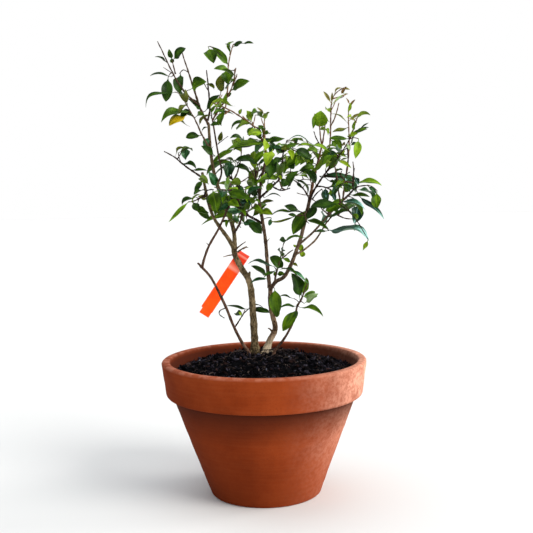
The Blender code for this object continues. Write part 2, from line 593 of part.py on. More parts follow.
def rule_twigs(shoots, count, draw):
    """Side twigs, dealt out in turn to the shoots, each turned against the one before."""
    turn = draw.uniform(0, math.tau)
    twigs = []
    for i in range(count):
        points, _, _, bare, length = shoots[i % len(shoots)]
        if bare == 1:
            continue
        root, direction = along(points, draw.uniform(*TWIG_PLACE))
        turn += GOLDEN_TURN + draw.uniform(-TWIG_STRAY, TWIG_STRAY)
        across = direction.orthogonal().normalized()
        out = across * math.cos(turn) + direction.cross(across) * math.sin(turn)
        lean = math.radians(draw.uniform(*TWIG_LEAN))
        way = direction * math.cos(lean) + out * math.sin(lean)
        size = draw.uniform(*TWIG_LENGTH)
        rise = Vector((0, 0, draw.uniform(*TWIG_RISE)))
        knots = [root, root + way * size * 0.5, root + (way + rise) * size]
        twigs.append((smooth(knots, 1), TWIG_FOOT, THINNEST, TWIG_BARE, length))
    return twigs


def rule_leaves(shoot, full, draw):
    """Pairs of leaves along a shoot, each pair turned against the one before."""
    points, _, _, bare, length = shoot
    size = sum((b - a).length for a, b in zip(points, points[1:]))
    count = int(size * (1 - bare) / NODE_SPACING) + 1
    turn = draw.uniform(0, math.tau)
    leaves = []
    for i in range(count):
        place = bare + (1 - bare) * (i + 0.5) / count
        root, direction = along(points, place)
        turn += math.radians(draw.uniform(*PAIR_TURN))
        across = direction.orthogonal().normalized()
        other = direction.cross(across)
        for half in (0, math.pi):
            angle = turn + half + draw.uniform(-PAIR_STRAY, PAIR_STRAY)
            lean = math.radians(draw.uniform(*LEAF_LEAN))
            out = across * math.cos(angle) + other * math.sin(angle)
            way = direction * math.cos(lean) + out * math.sin(lean)
            way.z -= draw.uniform(*LEAF_DROOP)
            way.normalize()
            long = length * draw.uniform(*LEAF_SIZE)
            width = long * draw.uniform(*LEAF_WIDTH)
            arch = draw.uniform(*LEAF_ARCH)
            facing = facing_of(root, way, draw.uniform(-LEAF_ROLL, LEAF_ROLL))
            if draw.random() < full:
                leaves.append((root, root + way * long, width, arch, facing))
    return leaves


def clear_of(shape, trees, space):
    """Whether a leaf stays in its mass's space and off everything that isn't its own."""
    low, high = space
    for vert in shape.verts:
        if any(not low[i] < vert.co[i] < high[i] for i in range(3)):
            return False
        for tree in trees:
            if tree.find_nearest(vert.co, LEAF_CLEAR)[0]:
                return False
    own = BVHTree.FromBMesh(shape)
    return not any(own.overlap(tree) for tree in trees)


def crosses(shape, leaves):
    """Whether a leaf runs through the blade of another one, apart from where both spring from."""
    own = BVHTree.FromBMesh(shape)
    return any(max(pair) >= STALK_FACES for leaf in leaves for pair in own.overlap(leaf))


def shoot_shape(shoot):
    """The three-sided tube of a shoot."""
    points, foot, tip = shoot[:3]
    radii = [(foot + (tip - foot) * mark) / 2 for mark in fractions(points)]
    return tube(points, radii, TWIG_SIDES)


def read_shoots(name):
    """A mass's shoots as points and thicknesses."""
    rows = MASSES[name][3]
    return [(smooth([spot(*knot) for knot in knots], TWIG_STEPS), foot * MM, tip * MM, bare, leaf * MM)
            for foot, tip, bare, leaf, knots in rows]


def outline_leaves(name, shoots):
    """The leaves that make a mass's outline."""
    leaves = []
    for index, place, tip, width, arch in MASSES[name][4]:
        root, _ = along(shoots[index][0], place)
        facing = FACE_ON if arch < EDGE_ON_ARCH else EDGE_ON
        leaves.append((root, spot(*tip), width * MM, arch, facing))
    return leaves


def grow_mass(name, trees):
    """A mass's shoots, and the shapes of its leaves that are clear of everything else."""
    _, (seed, twig_count, full), space, _, _ = MASSES[name]
    draw = random.Random(seed)
    shoots = read_shoots(name)
    ends = [spot(*point) for point in space]
    low = [min(ends[0][i], ends[1][i]) for i in range(3)]
    high = [max(ends[0][i], ends[1][i]) for i in range(3)]
    shapes = []
    own = []

    def keep(leaf, room):
        shape = blade(*leaf)
        bounds = ([value - room for value in low], [value + room for value in high])
        if clear_of(shape, trees, bounds) and not crosses(shape, own):
            shapes.append(shape)
            own.append(BVHTree.FromBMesh(shape))

    for leaf in outline_leaves(name, shoots):
        keep(leaf, OUTLINE_ROOM)
    for twig in rule_twigs(shoots, twig_count, draw):
        shape = shoot_shape(twig)
        if clear_of(shape, trees, (low, high)):
            shoots.append(twig)
        shape.free()
    for shoot in shoots:
        for leaf in rule_leaves(shoot, full, draw):
            keep(leaf, 0)
    return shoots, shapes


def make_mass(name, foliage, trees):
    """One mass: its shoots and leaves fused into one solid, cut clear of the limbs."""
    shoots, leaves = grow_mass(name, trees)
    mass = add_object(name, shoot_shape(shoots[0]), foliage)
    group = bpy.data.collections.new("growth")
    for shape in [shoot_shape(shoot) for shoot in shoots[1:]] + leaves:
        part = add_object("growth", shape)
        bpy.context.scene.collection.objects.unlink(part)
        group.objects.link(part)
    boolean(mass, "UNION", group=group)
    for part in list(group.objects):
        remove(part)
    bpy.data.collections.remove(group)
    cut_clear(mass, LIMBS)
    return mass


def make_masses(foliage):
    """All masses, each clear of the limbs, of the other masses' shoots and of those before it."""
    limb_trees = []
    for name in LIMBS:
        shape = limb_shape(name)
        limb_trees.append(BVHTree.FromBMesh(shape))
        shape.free()
    shoot_trees = {}
    for name in MASSES:
        shoot_trees[name] = []
        for shoot in read_shoots(name):
            shape = shoot_shape(shoot)
            shoot_trees[name].append(BVHTree.FromBMesh(shape))
            shape.free()
    done = []
    for name in MASSES:
        others = [tree for other in MASSES if other != name for tree in shoot_trees[other]]
        mass = make_mass(name, foliage, limb_trees + others + done)
        shape = bmesh.new()
        shape.from_mesh(mass.data)
        done.append(BVHTree.FromBMesh(shape))
        shape.free()


def make_label(plastic):
    """The label: a strip that hangs down to the left, runs behind the left stem and folds back."""
    run, rise = LABEL_TOP[0] - LABEL_FOOT[0], LABEL_TOP[1] - LABEL_FOOT[1]
    size = math.hypot(run, rise)
    ahead = (run / size, rise / size)
    fold = [(LABEL_RUN + LABEL_FOLD * math.sin(turn), LABEL_BACK + LABEL_FOLD * (1 - math.cos(turn)))
            for turn in (0, math.pi / 4, math.pi / 2, 3 * math.pi / 4, math.pi)]
    path = [(0, 2), (LABEL_RUN * 0.45, 5), (LABEL_RUN * 0.85, LABEL_BACK - 0.5)] + fold
    path.append((LABEL_RUN - LABEL_TAIL, LABEL_BACK + 2 * LABEL_FOLD))
    middle = [spot(LABEL_FOOT[0] + ahead[0] * far, LABEL_FOOT[1] + ahead[1] * far, away) for far, away in path]
    side = Vector((ahead[1], 0, -ahead[0])) * (LABEL_WIDTH / 2)
    shape = bmesh.new()
    rings = []
    for i, point in enumerate(middle):
        direction = (middle[min(i + 1, len(middle) - 1)] - middle[max(i - 1, 0)]).normalized()
        thick = side.cross(direction).normalized() * (LABEL_THICKNESS / 2)
        corners = (point - side - thick, point + side - thick, point + side + thick, point - side + thick)
        rings.append([shape.verts.new(place) for place in corners])
    for low, high in zip(rings, rings[1:]):
        for i in range(4):
            shape.faces.new((low[i], low[(i + 1) % 4], high[(i + 1) % 4], high[i]))
    shape.faces.new(rings[0][::-1])
    shape.faces.new(rings[-1])
    add_object("label", shape, plastic)


def main():
    for piece in list(bpy.data.objects):
        bpy.data.objects.remove(piece, do_unlink=True)
    make_pot(paint("terracotta", (0.42, 0.13, 0.06), 0.85))
    make_soil(paint("compost", (0.02, 0.015, 0.012), 0.95))
    make_limbs(paint("bark", (0.19, 0.14, 0.09), 0.8))
    make_masses(paint("foliage", (0.07, 0.18, 0.03), 0.45))
    make_label(paint("label_orange", (1.0, 0.1, 0.01), 0.4))


main()
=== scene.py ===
"""How the young pomegranate bonsai looks: its bark, twigs, leaves, compost, clay and label."""

import math
import random

import bmesh
import bpy
from mathutils import Matrix, Vector, noise
from mathutils.bvhtree import BVHTree

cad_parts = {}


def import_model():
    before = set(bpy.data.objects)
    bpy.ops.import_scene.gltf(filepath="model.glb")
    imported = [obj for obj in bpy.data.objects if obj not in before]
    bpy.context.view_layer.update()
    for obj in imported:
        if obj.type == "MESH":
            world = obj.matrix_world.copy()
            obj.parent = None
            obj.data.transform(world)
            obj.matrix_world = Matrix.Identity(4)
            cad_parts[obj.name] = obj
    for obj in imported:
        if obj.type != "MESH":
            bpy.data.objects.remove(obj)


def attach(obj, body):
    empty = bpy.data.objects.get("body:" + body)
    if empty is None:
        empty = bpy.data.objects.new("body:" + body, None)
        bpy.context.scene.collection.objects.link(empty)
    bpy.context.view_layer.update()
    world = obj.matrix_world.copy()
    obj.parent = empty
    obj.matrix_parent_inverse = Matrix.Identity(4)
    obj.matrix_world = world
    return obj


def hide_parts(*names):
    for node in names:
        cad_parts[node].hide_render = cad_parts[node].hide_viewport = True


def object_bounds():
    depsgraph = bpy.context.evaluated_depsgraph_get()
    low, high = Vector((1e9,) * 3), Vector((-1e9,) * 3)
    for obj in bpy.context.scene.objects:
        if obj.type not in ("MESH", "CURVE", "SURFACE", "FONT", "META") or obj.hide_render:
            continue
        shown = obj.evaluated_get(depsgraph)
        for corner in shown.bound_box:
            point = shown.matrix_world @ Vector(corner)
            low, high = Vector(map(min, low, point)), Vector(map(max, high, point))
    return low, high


MM = 0.001
GAP = 0.3 * MM

# The pot, as in the part's own source
POT_HEIGHT = 165 * MM
RIM_RADIUS = 125 * MM
RIM_DEPTH = 42 * MM
RIM_FOOT_RADIUS = 120.5 * MM
BODY_TOP_RADIUS = 112 * MM
BASE_RADIUS = 68.5 * MM
WALL = 9 * MM
LIP = 10.5 * MM
FLOOR = 12 * MM
CORNER = 3.2 * MM
DRAIN_RADIUS = 5.5 * MM
DRAIN_RING = 30 * MM

# The compost, as in the part's own source
GROUND = POT_HEIGHT - 1 * MM
SOIL_EDGE = 11 * MM
CLUMP_AWAY = 31 * MM
CLUMP_FLAT = 0.28
SOIL_BUMP = 2.2 * MM

# How a measured point is placed, as in the part's own source
EYE_DISTANCE = 1.081
EYE_HEIGHT = 0.193
CLUMP_ACROSS = 1.0
CLUMP_UP = 2.0
LEAN = math.tan(math.radians(1.0))
DEPTH = 1.4

# The part's own rule for side twigs and leaves
LIMB_SIDES = 7
LIMB_STEPS = 2
TWIG_SIDES = 3
TWIG_STEPS = 2
FLARE = 0.55
FLARE_HEIGHT = 9 * MM
THINNEST = 1.5 * MM
TWIG_FOOT = 1.8 * MM
TWIG_BARE = 0.3
TWIG_PLACE = (0.35, 0.9)
TWIG_LEAN = (45, 65)
TWIG_LENGTH = (20 * MM, 34 * MM)
TWIG_RISE = (0.05, 0.3)
GOLDEN_TURN = math.radians(137.5)
TWIG_STRAY = 0.3
NODE_SPACING = 14 * MM
PAIR_TURN = (75, 105)
PAIR_STRAY = 0.4
LEAF_LEAN = (40, 75)
LEAF_DROOP = (0.05, 0.5)
LEAF_SIZE = (0.75, 1.2)
LEAF_WIDTH = (0.31, 0.42)
LEAF_ARCH = (0.05, 0.16)
LEAF_ROLL = 0.6
LEAF_UP = Vector((0, -0.3, 0.65))
LEAF_OUT = 0.45
LEAF_THICKNESS = 0.8 * MM
STALK_WIDTH = 1.5 * MM
STALK_FOLD = 0.4
LONG_LEAF = ((0.3, 0.88, 0.06), (0.68, 0.92, 0.06))
SHORT_LEAF = ((0.48, 1.0, 0.06),)
SHORT_LENGTH = 19 * MM
STALK_FACES = 4
EDGE_ON_ARCH = 0.14
EDGE_ON = Vector((0, -0.25, 1))
FACE_ON = Vector((0, -1, 0.5))
LEAF_CLEAR = 0.8 * MM
OUTLINE_ROOM = 4 * MM

# The label, as in the part's own source
LABEL_THICKNESS = 0.6 * MM
LABEL_BACK = 7.9
LABEL_FOLD = 3
LABEL_TAIL = 12

# Limb: what it grows from, its thickness at foot, middle and tip, and its bends
LIMBS = {
    "stem_left": ("", (8.8, 8.2, 6.6), (
        (-12, 0, 0), (-15, 51, 2), (-19, 88, 3), (-29, 106, 4), (-37, 122, 5), (-39, 133, 6))),
    "stem_right": ("", (8.0, 6.2, 5.4), (
        (1, 0, 2), (6, 14, 3), (13, 30, 4), (10, 46, 4), (7, 62, 3), (7, 85, 2))),
    "stem_whip_lower": ("", (3.7, 3.4, 3.0), (
        (-20, 0, -9), (-29, 13, -14), (-40, 35, -18), (-50, 60, -21), (-67, 94, -24), (-81, 110, -26))),
    "stem_low_right": ("", (3.2, 2.8, 2.4), (
        (11, 0, -6), (24, 17, -8), (31, 29, -10), (37, 43, -12), (41, 61, -14))),
    "bough_left_main": ("stem_left", (5.6, 4.6, 3.4), (
        (-38, 130, 6), (-39, 154, 8), (-47, 177, 11), (-61, 216, 14), (-67, 248, 16), (-70, 286, 18))),
    "bough_left_outer": ("stem_left", (5.6, 3.8, 3.2), (
        (-38, 130, 5), (-46, 144, 0), (-61, 165, -7), (-68, 180, -10), (-73, 200, -12), (-78, 226, -14))),
    "bough_left_thin": ("bough_left_main", (2.4, 2.2, 2.0), (
        (-60, 210, 13), (-54, 226, 20), (-58, 248, 26), (-61, 266, 28), (-65, 291, 29))),
    "stem_whip_upper": ("stem_whip_lower", (3.2, 2.6, 2.0), (
        (-79, 107, -26), (-76, 119, -28), (-70, 135, -30), (-57, 158, -32), (-46, 182, -34),
        (-34, 203, -35))),
    "bough_centre": ("stem_right", (4.8, 4.2, 3.4), (
        (6, 82, 2), (3, 112, 5), (1, 139, 9), (-3, 166, 12), (-7, 191, 14), (-4, 219, 15), (1, 241, 16))),
    "bough_right": ("stem_right", (4.8, 4.6, 4.4), (
        (7, 81, 1), (14, 90, -3), (24, 96, -6), (33, 112, -9), (41, 134, -12), (47, 153, -13),
        (56, 194, -12))),
    "bough_right_arm": ("bough_right", (2.8, 2.4, 2.0), (
        (43, 137, -12), (60, 152, -22), (76, 170, -28), (91, 186, -32), (104, 199, -34))),
    "bough_right_under": ("bough_right", (2.6, 2.4, 2.0), (
        (38, 124, -11), (49, 130, 0), (59, 138, 6), (66, 146, 9), (78, 166, 12))),
}

# Mass of leaves: the limb it grows from, then its seed, its number of side twigs and how full it is,
# then two corners of the space it keeps to, its shoots, and the leaves that make its outline.
# The first shoot is the mass's stem. Each shoot is its thickness at foot and tip, the share of it that
# stays bare, the length of its leaves, and its bends. An outline leaf is the number of its shoot, where
# on that it grows, its tip, its width and how far it arches.
MASSES = {
    "leaves_top_left": ("bough_left_main", (11, 0, 0.25), ((-150, 290, -50), (-66, 380, 20)), (
        (3.0, 1.6, 0.30, 27, ((-70, 285, 18), (-80, 304, 17), (-87, 326, 12), (-96, 354, 8), (-102, 372, 5))),
        (2.3, 1.5, 0.35, 20, ((-81, 308, 16), (-95, 320, 2), (-109, 339, -12), (-121, 363, -20),
                              (-132, 386, -26))),
        (2.4, 1.6, 1.00, 27, ((-71, 290, 18), (-68, 304, 22), (-70, 329, 27), (-72, 351, 30))),
    ), (
        (1, 0.22, (-147, 306, -12), 8, 0.22), (1, 0.50, (-121, 315, -20), 10, 0.10),
        (1, 0.52, (-144, 346, -22), 7, 0.05), (0, 0.76, (-105, 324, 2), 12, 0.08),
        (0, 0.46, (-71, 339, 14), 13, 0.12), (0, 0.98, (-119, 382, 0), 10, 0.15),
        (0, 0.98, (-97, 385, 8), 9, -0.10), (1, 0.98, (-137, 390, -30), 5, 0.10))),
    "leaves_left_shoulder": ("bough_left_main", (12, 0, 0.35), ((-134, 258, -45), (-60, 330, 30)), (
        (2.2, 1.5, 0.40, 25, ((-69, 256, 16), (-79, 274, 2), (-86, 290, -8), (-94, 304, -14),
                              (-104, 321, -18))),
    ), (
        (0, 0.72, (-130, 291, -20), 8, 0.08), (0, 0.55, (-119, 284, -24), 11, 0.10),
        (0, 0.25, (-97, 270, 4), 9, 0.12), (0, 0.45, (-66, 296, -12), 7, 0.15))),
    "leaves_top_middle": ("bough_left_thin", (13, 1, 0.22), ((-84, 296, -20), (-8, 396, 60)), (
        (2.2, 1.5, 0.35, 25, ((-65, 290, 29), (-59, 300, 26), (-47, 318, 20), (-40, 333, 18),
                              (-36, 354, 16))),
        (1.8, 1.5, 0.55, 20, ((-48, 316, 21), (-46, 330, 26), (-45, 359, 29), (-41, 376, 31),
                              (-39, 382, 32))),
        (1.7, 1.5, 0.70, 18, ((-62, 295, 28), (-59, 311, 34), (-55, 321, 38))),
    ), (
        (1, 0.62, (-80, 379, 24), 13, -0.06), (1, 0.62, (-64, 381, 34), 9, 0.10),
        (1, 0.66, (-54, 338, 18), 15, 0.06), (0, 0.42, (-53, 342, 12), 10, 0.05),
        (0, 0.60, (-19, 338, 12), 12, 0.10), (1, 0.98, (-13, 388, 30), 7, 0.18),
        (1, 0.92, (-51, 387, 30), 6, 0.10), (2, 0.96, (-76, 302, 46), 8, 0.35))),
    "leaves_left_spur": ("bough_left_outer", (14, 1, 0.4), ((-130, 218, -62), (-64, 262, -4)), (
        (2.2, 1.5, 0.45, 22, ((-77, 219, -14), (-87, 226, -20), (-99, 234, -26), (-112, 245, -30),
                              (-125, 252, -33))),
    ), (
        (0, 0.50, (-71, 229, -38), 9, 0.06), (0, 0.72, (-96, 250, -30), 8, 0.40))),
    "leaves_left_low": ("bough_left_outer", (35, 2, 0.55), ((-126, 160, -60), (-54, 226, 6)), (
        (2.2, 1.5, 0.20, 26, ((-72, 199, -12), (-80, 195, -20), (-88, 191, -26), (-95, 190, -30))),
        (1.8, 1.5, 0.40, 26, ((-76, 197, -16), (-72, 204, -28), (-64, 205, -36))),
    ), (
        (0, 0.96, (-122, 163, -36), 8, 0.08), (0, 0.80, (-84, 179, -38), 7, 0.10),
        (0, 0.50, (-70, 174, -40), 6, -0.12), (1, 0.95, (-60, 178, -46), 15, 0.10),
        (0, 0.70, (-88, 204, -22), 6, 0.10))),
    "leaves_heart": ("bough_left_main", (16, 9, 0.9), ((-72, 150, -62), (-2, 232, 4)), (
        (2.8, 1.6, 0.40, 30, ((-38, 152, 7), (-34, 158, -4), (-29, 170, -14), (-26, 184, -20),
                              (-24, 205, -23))),
        (2.0, 1.5, 0.20, 30, ((-27, 179, -18), (-34, 192, -24), (-42, 202, -28), (-50, 212, -30))),
    ), (
        (0, 0.30, (-6, 151, -26), 15, 0.08), (1, 0.60, (-20, 186, -14), 9, 0.10),
        (1, 0.90, (-70, 224, -36), 9, 0.10), (0, 0.95, (-12, 224, -30), 9, 0.15))),
    "leaves_heart_low": ("bough_centre", (17, 3, 0.6), ((-84, 150, -20), (12, 196, 50)), (
        (2.0, 1.5, 0.25, 27, ((-3, 163, 11), (-15, 170, 16), (-31, 177, 20), (-44, 182, 22))),
    ), (
        (0, 0.75, (-80, 160, 14), 6, 0.10), (0, 0.95, (-58, 170, 34), 10, 0.12),
        (0, 0.35, (2, 186, 30), 9, 0.12))),
    "leaves_inner": ("bough_left_main", (31, 7, 0.75), ((-64, 188, 4), (12, 268, 76)), (
        (2.6, 1.6, 0.25, 31, ((-54, 196, 12), (-45, 208, 24), (-36, 222, 34), (-31, 238, 42),
                              (-29, 256, 46))),
        (1.9, 1.5, 0.25, 31, ((-41, 214, 28), (-30, 214, 40), (-18, 222, 48))),
    ), (
        (0, 0.70, (-62, 222, 40), 9, 0.14), (0, 0.85, (-4, 262, 38), 11, 0.12))),
    "leaves_centre_top": ("bough_centre", (18, 5, 0.65), ((-76, 224, -38), (40, 316, 58)), (
        (2.9, 1.6, 0.25, 31, ((1, 240, 16), (-1, 261, 14), (-11, 277, 10), (-16, 288, 8))),
        (1.8, 1.5, 0.30, 16, ((-14, 283, 9), (-31, 295, 0), (-44, 303, -8), (-65, 312, -18))),
        (1.8, 1.5, 0.30, 14, ((-1, 263, 14), (0, 274, 20), (-1, 285, 24), (0, 296, 26))),
    ), (
        (0, 0.45, (-50, 252, -8), 9, 0.12), (0, 0.30, (-44, 222, -6), 10, 0.22),
        (1, 0.10, (-24, 306, 4), 8, 0.10), (0, 0.40, (26, 269, 2), 9, 0.12),
        (2, 0.98, (-10, 308, 30), 6, 0.10), (2, 0.98, (7, 303, 32), 6, 0.10),
        (1, 0.96, (-74, 306, -22), 6, 0.20), (0, 0.12, (-70, 236, 24), 8, 0.15))),
    "leaves_centre": ("bough_centre", (19, 7, 0.6), ((-22, 172, -60), (52, 290, 8)), (
        (2.6, 1.6, 0.25, 31, ((-6, 195, 14), (4, 204, 2), (14, 214, -8), (20, 222, -14),
                              (22, 247, -20), (27, 266, -24))),
        (1.9, 1.5, 0.20, 31, ((9, 209, -3), (20, 204, -16), (31, 207, -24))),
    ), (
        (0, 0.78, (44, 253, -24), 11, 0.20), (0, 0.74, (1, 236, -26), 9, 0.12),
        (1, 0.50, (34, 176, -34), 12, 0.08), (1, 0.10, (33, 178, -8), 7, 0.12),
        (1, 0.92, (47, 190, -30), 9, 0.12), (0, 0.55, (-12, 212, -28), 10, 0.12))),
    "leaves_centre_back": ("bough_centre", (20, 7, 0.85), ((-46, 196, 20), (36, 262, 84)), (
        (2.4, 1.6, 0.30, 31, ((-6, 196, 14), (-10, 208, 26), (-12, 226, 38), (-11, 240, 46))),
        (1.8, 1.5, 0.20, 31, ((-10, 214, 30), (4, 226, 40), (16, 236, 50))),
    ), (
        (0, 0.60, (-36, 216, 62), 10, 0.12), (1, 0.95, (34, 246, 60), 9, 0.12))),
    "leaves_right_top": ("bough_right", (21, 4, 0.55), ((24, 214, -34), (112, 338, 62)), (
        (3.4, 1.6, 0.30, 29, ((56, 193, -12), (60, 215, -6), (66, 241, 2), (72, 266, 8), (74, 284, 10))),
        (2.0, 1.5, 0.25, 15, ((67, 245, 3), (79, 256, 14), (81, 274, 20), (82, 311, 26),
                              (88, 324, 28), (100, 331, 26))),
    ), (
        (0, 0.72, (27, 266, -6), 7, 0.25), (0, 0.66, (41, 257, 12), 8, 0.08),
        (0, 0.97, (66, 303, 4), 15, 0.12), (0, 0.50, (46, 237, -10), 10, 0.12),
        (1, 0.42, (103, 285, 14), 9, 0.12), (1, 0.80, (74, 328, 18), 6, 0.25),
        (1, 0.90, (95, 336, 34), 6, 0.20), (1, 0.98, (109, 330, 24), 5, 0.10))),
    "leaves_right_front": ("bough_right", (22, 6, 0.75), ((46, 190, -72), (120, 286, -12)), (
        (2.6, 1.5, 0.20, 31, ((55, 190, -12), (62, 206, -22), (79, 231, -36), (94, 250, -42),
                              (105, 268, -44))),
        (1.8, 1.5, 0.15, 31, ((64, 209, -24), (72, 209, -34), (80, 206, -42))),
    ), (
        (0, 0.22, (117, 212, -40), 9, 0.10), (1, 0.60, (86, 190, -52), 14, 0.08),
        (0, 0.62, (64, 250, -50), 8, 0.10), (0, 0.80, (106, 234, -50), 9, 0.10),
        (0, 0.97, (114, 278, -50), 8, 0.12))),
    "leaves_right_shoots": ("bough_right_arm", (23, 2, 0.4), ((78, 214, -40), (134, 322, 50)), (
        (2.0, 1.5, 0.30, 20, ((97, 193, -33), (99, 210, -26), (102, 229, -16), (104, 254, -8), (104, 272, -2),
                          (103, 302, 6), (106, 311, 8))),
    ), (
        (0, 0.98, (102, 321, 12), 6, 0.10), (0, 0.97, (116, 318, 4), 6, 0.12),
        (0, 0.86, (125, 301, 0), 8, 0.15), (0, 0.78, (131, 286, 14), 8, 0.15),
        (0, 0.70, (124, 274, -8), 8, 0.15), (0, 0.60, (112, 242, -14), 10, 0.25),
        (0, 0.80, (88, 300, -8), 8, 0.12))),
    "leaves_right_arm": ("bough_right_arm", (24, 2, 0.6), ((48, 150, -84), (152, 238, -34)), (
        (2.0, 1.5, 0.10, 32, ((104, 198, -34), (109, 204, -40), (116, 209, -44), (127, 211, -48))),
        (1.7, 1.5, 0.40, 18, ((110, 205, -41), (109, 216, -48), (111, 232, -52))),
        (1.7, 1.5, 0.30, 32, ((106, 201, -37), (100, 194, -46), (92, 188, -52))),
    ), (
        (0, 0.12, (150, 168, -52), 9, 0.16), (0, 0.70, (145, 213, -52), 7, 0.10),
        (0, 0.96, (133, 195, -54), 10, 0.10), (0, 0.80, (141, 181, -60), 10, 0.12),
        (2, 0.60, (117, 162, -64), 12, 0.25), (2, 0.95, (54, 178, -62), 12, 0.06),
        (0, 0.40, (98, 214, -56), 7, 0.10))),
    "leaves_right_under": ("bough_right_under", (25, 3, 0.6), ((52, 122, -10), (130, 190, 62)), (
        (2.0, 1.5, 0.10, 32, ((78, 165, 12), (84, 172, 16), (92, 178, 22))),
        (1.8, 1.5, 0.20, 32, ((83, 171, 16), (74, 178, 26), (70, 182, 34))),
    ), (
        (0, 0.15, (124, 128, 2), 11, 0.22), (0, 0.60, (115, 166, 10), 9, 0.20),
        (1, 0.90, (62, 158, 44), 10, 0.12), (0, 0.95, (112, 184, 40), 9, 0.12))),
    "leaves_right_low": ("bough_right", (26, 0, 0.25), ((16, 130, -66), (84, 190, -14)), (
        (2.0, 1.5, 0.20, 27, ((52, 178, -12), (50, 174, -24), (52, 166, -34))),
    ), (
        (0, 0.35, (33, 146, -32), 15, 0.08), (0, 0.95, (24, 142, -44), 10, 0.10),
        (0, 0.90, (80, 156, -54), 7, 0.08))),
    "leaves_fork": ("stem_right", (27, 1, 0.55), ((-24, 40, -44), (42, 142, 22)), (
        (2.8, 1.5, 0.35, 25, ((7, 80, 1), (12, 90, -10), (15, 104, -14), (20, 122, -16), (23, 137, -18))),
        (1.7, 1.5, 0.40, 25, ((19, 117, -15), (27, 124, -20), (35, 130, -24))),
    ), (
        (0, 0.15, (12, 45, -20), 13, -0.06), (0, 0.22, (-20, 87, -22), 8, 0.10),
        (0, 0.30, (-19, 110, -20), 9, 0.10), (0, 0.50, (8, 122, -26), 9, 0.10))),
    "leaves_low_right": ("stem_low_right", (28, 0, 0.3), ((14, 22, -46), (78, 106, 16)), (
        (2.4, 1.5, 0.05, 23, ((41, 60, -14), (46, 68, -15), (50, 79, -16), (54, 88, -16))),
    ), (
        (0, 0.25, (32, 91, -24), 11, 0.10), (0, 0.25, (66, 73, -10), 10, 0.12),
        (0, 0.10, (75, 44, -20), 7, 0.14), (0, 0.08, (17, 59, -24), 6, 0.08),
        (0, 0.15, (22, 27, -24), 11, 0.06), (0, 0.85, (31, 102, -14), 8, 0.10))),
    "leaves_low_left": ("stem_whip_lower", (29, 0, 0.3), ((-56, 30, -12), (10, 66, 34)), (
        (1.9, 1.5, 0.60, 20, ((-38, 32, -17), (-32, 41, 0), (-26, 50, 10), (-18, 57, 14))),
    ), (
        (0, 0.80, (-50, 60, 2), 8, 0.10), (0, 0.98, (6, 50, 18), 7, 0.08))),
}

# What grows on each mass: the kinds that its leaves are dealt from, and how many short spurs it bears
LOOKS = {
    "leaves_top_left": (("dark", "mid", "dark", "olive"), 4),
    "leaves_left_shoulder": (("dark", "mid", "olive"), 3),
    "leaves_top_middle": (("mid", "dark", "olive"), 4),
    "leaves_left_spur": (("dark", "teal"), 2),
    "leaves_left_low": (("mid", "dark", "fresh"), 5),
    "leaves_heart": (("mid", "dark", "fresh", "teal"), 24),
    "leaves_heart_low": (("fresh", "mid", "lime", "dark"), 14),
    "leaves_inner": (("dark", "mid", "teal", "fresh"), 22),
    "leaves_centre_top": (("mid", "fresh", "lime", "mid"), 18),
    "leaves_centre": (("fresh", "mid", "teal", "lime", "dark"), 28),
    "leaves_centre_back": (("dark", "mid", "teal", "fresh"), 22),
    "leaves_right_top": (("fresh", "lime", "mid"), 9),
    "leaves_right_front": (("mid", "fresh", "lime", "dark", "teal"), 20),
    "leaves_right_shoots": (("lime", "straw", "bronze", "fresh"), 2),
    "leaves_right_arm": (("teal", "mid", "gloss", "dark"), 4),
    "leaves_right_under": (("teal", "dark", "gloss"), 4),
    "leaves_right_low": (("mid", "fresh"), 2),
    "leaves_fork": (("dark", "teal", "dark"), 4),
    "leaves_low_right": (("teal", "mid", "dark"), 1),
    "leaves_low_left": (("dark",), 1),
}

# Leaf kinds: shaded, plain and brightest colour of the upper side, underside, roughness, gloss
LEAF_KINDS = {
    "dark": (
        (0.003, 0.012, 0.0008), (0.011, 0.038, 0.0015),
        (0.040, 0.100, 0.006), (0.045, 0.085, 0.010), 0.35, 0.14),
    "teal": (
        (0.002, 0.014, 0.0018), (0.007, 0.046, 0.0050),
        (0.050, 0.170, 0.070), (0.030, 0.095, 0.022), 0.28, 0.34),
    # The gloss kind's brightest colour is a painted cyan-white reflection
    "gloss": (
        (0.003, 0.022, 0.0050), (0.012, 0.070, 0.0260),
        (0.330, 0.600, 0.560), (0.03, 0.11, 0.04), 0.34, 0.12),
    "mid": (
        (0.009, 0.028, 0.0010), (0.036, 0.088, 0.0015),
        (0.105, 0.205, 0.006), (0.080, 0.150, 0.010), 0.38, 0.12),
    "fresh": (
        (0.026, 0.062, 0.0015), (0.088, 0.178, 0.0035),
        (0.210, 0.350, 0.012), (0.135, 0.220, 0.015), 0.40, 0.12),
    "lime": (
        (0.060, 0.110, 0.0020), (0.175, 0.285, 0.0050),
        (0.330, 0.460, 0.030), (0.200, 0.300, 0.030), 0.42, 0.11),
    "olive": (
        (0.016, 0.022, 0.0010), (0.055, 0.072, 0.0030),
        (0.150, 0.170, 0.020), (0.100, 0.110, 0.020), 0.40, 0.12),
    "straw": (
        (0.090, 0.070, 0.0150), (0.230, 0.210, 0.0450),
        (0.370, 0.350, 0.120), (0.230, 0.190, 0.060), 0.42, 0.11),
    "bronze": (
        (0.060, 0.030, 0.0080), (0.170, 0.090, 0.0200),
        (0.300, 0.180, 0.060), (0.190, 0.120, 0.030), 0.42, 0.11),
    # The pale kind is a painted highlight: leaves made pale where light glints off them
    "pale": (
        (0.090, 0.170, 0.0500), (0.250, 0.380, 0.1400),
        (0.480, 0.600, 0.320), (0.300, 0.420, 0.160), 0.40, 0.30),
    "yellow": (
        (0.014, 0.045, 0.0020), (0.480, 0.330, 0.0030),
        (0.680, 0.480, 0.010), (0.300, 0.260, 0.020), 0.42, 0.11),
}

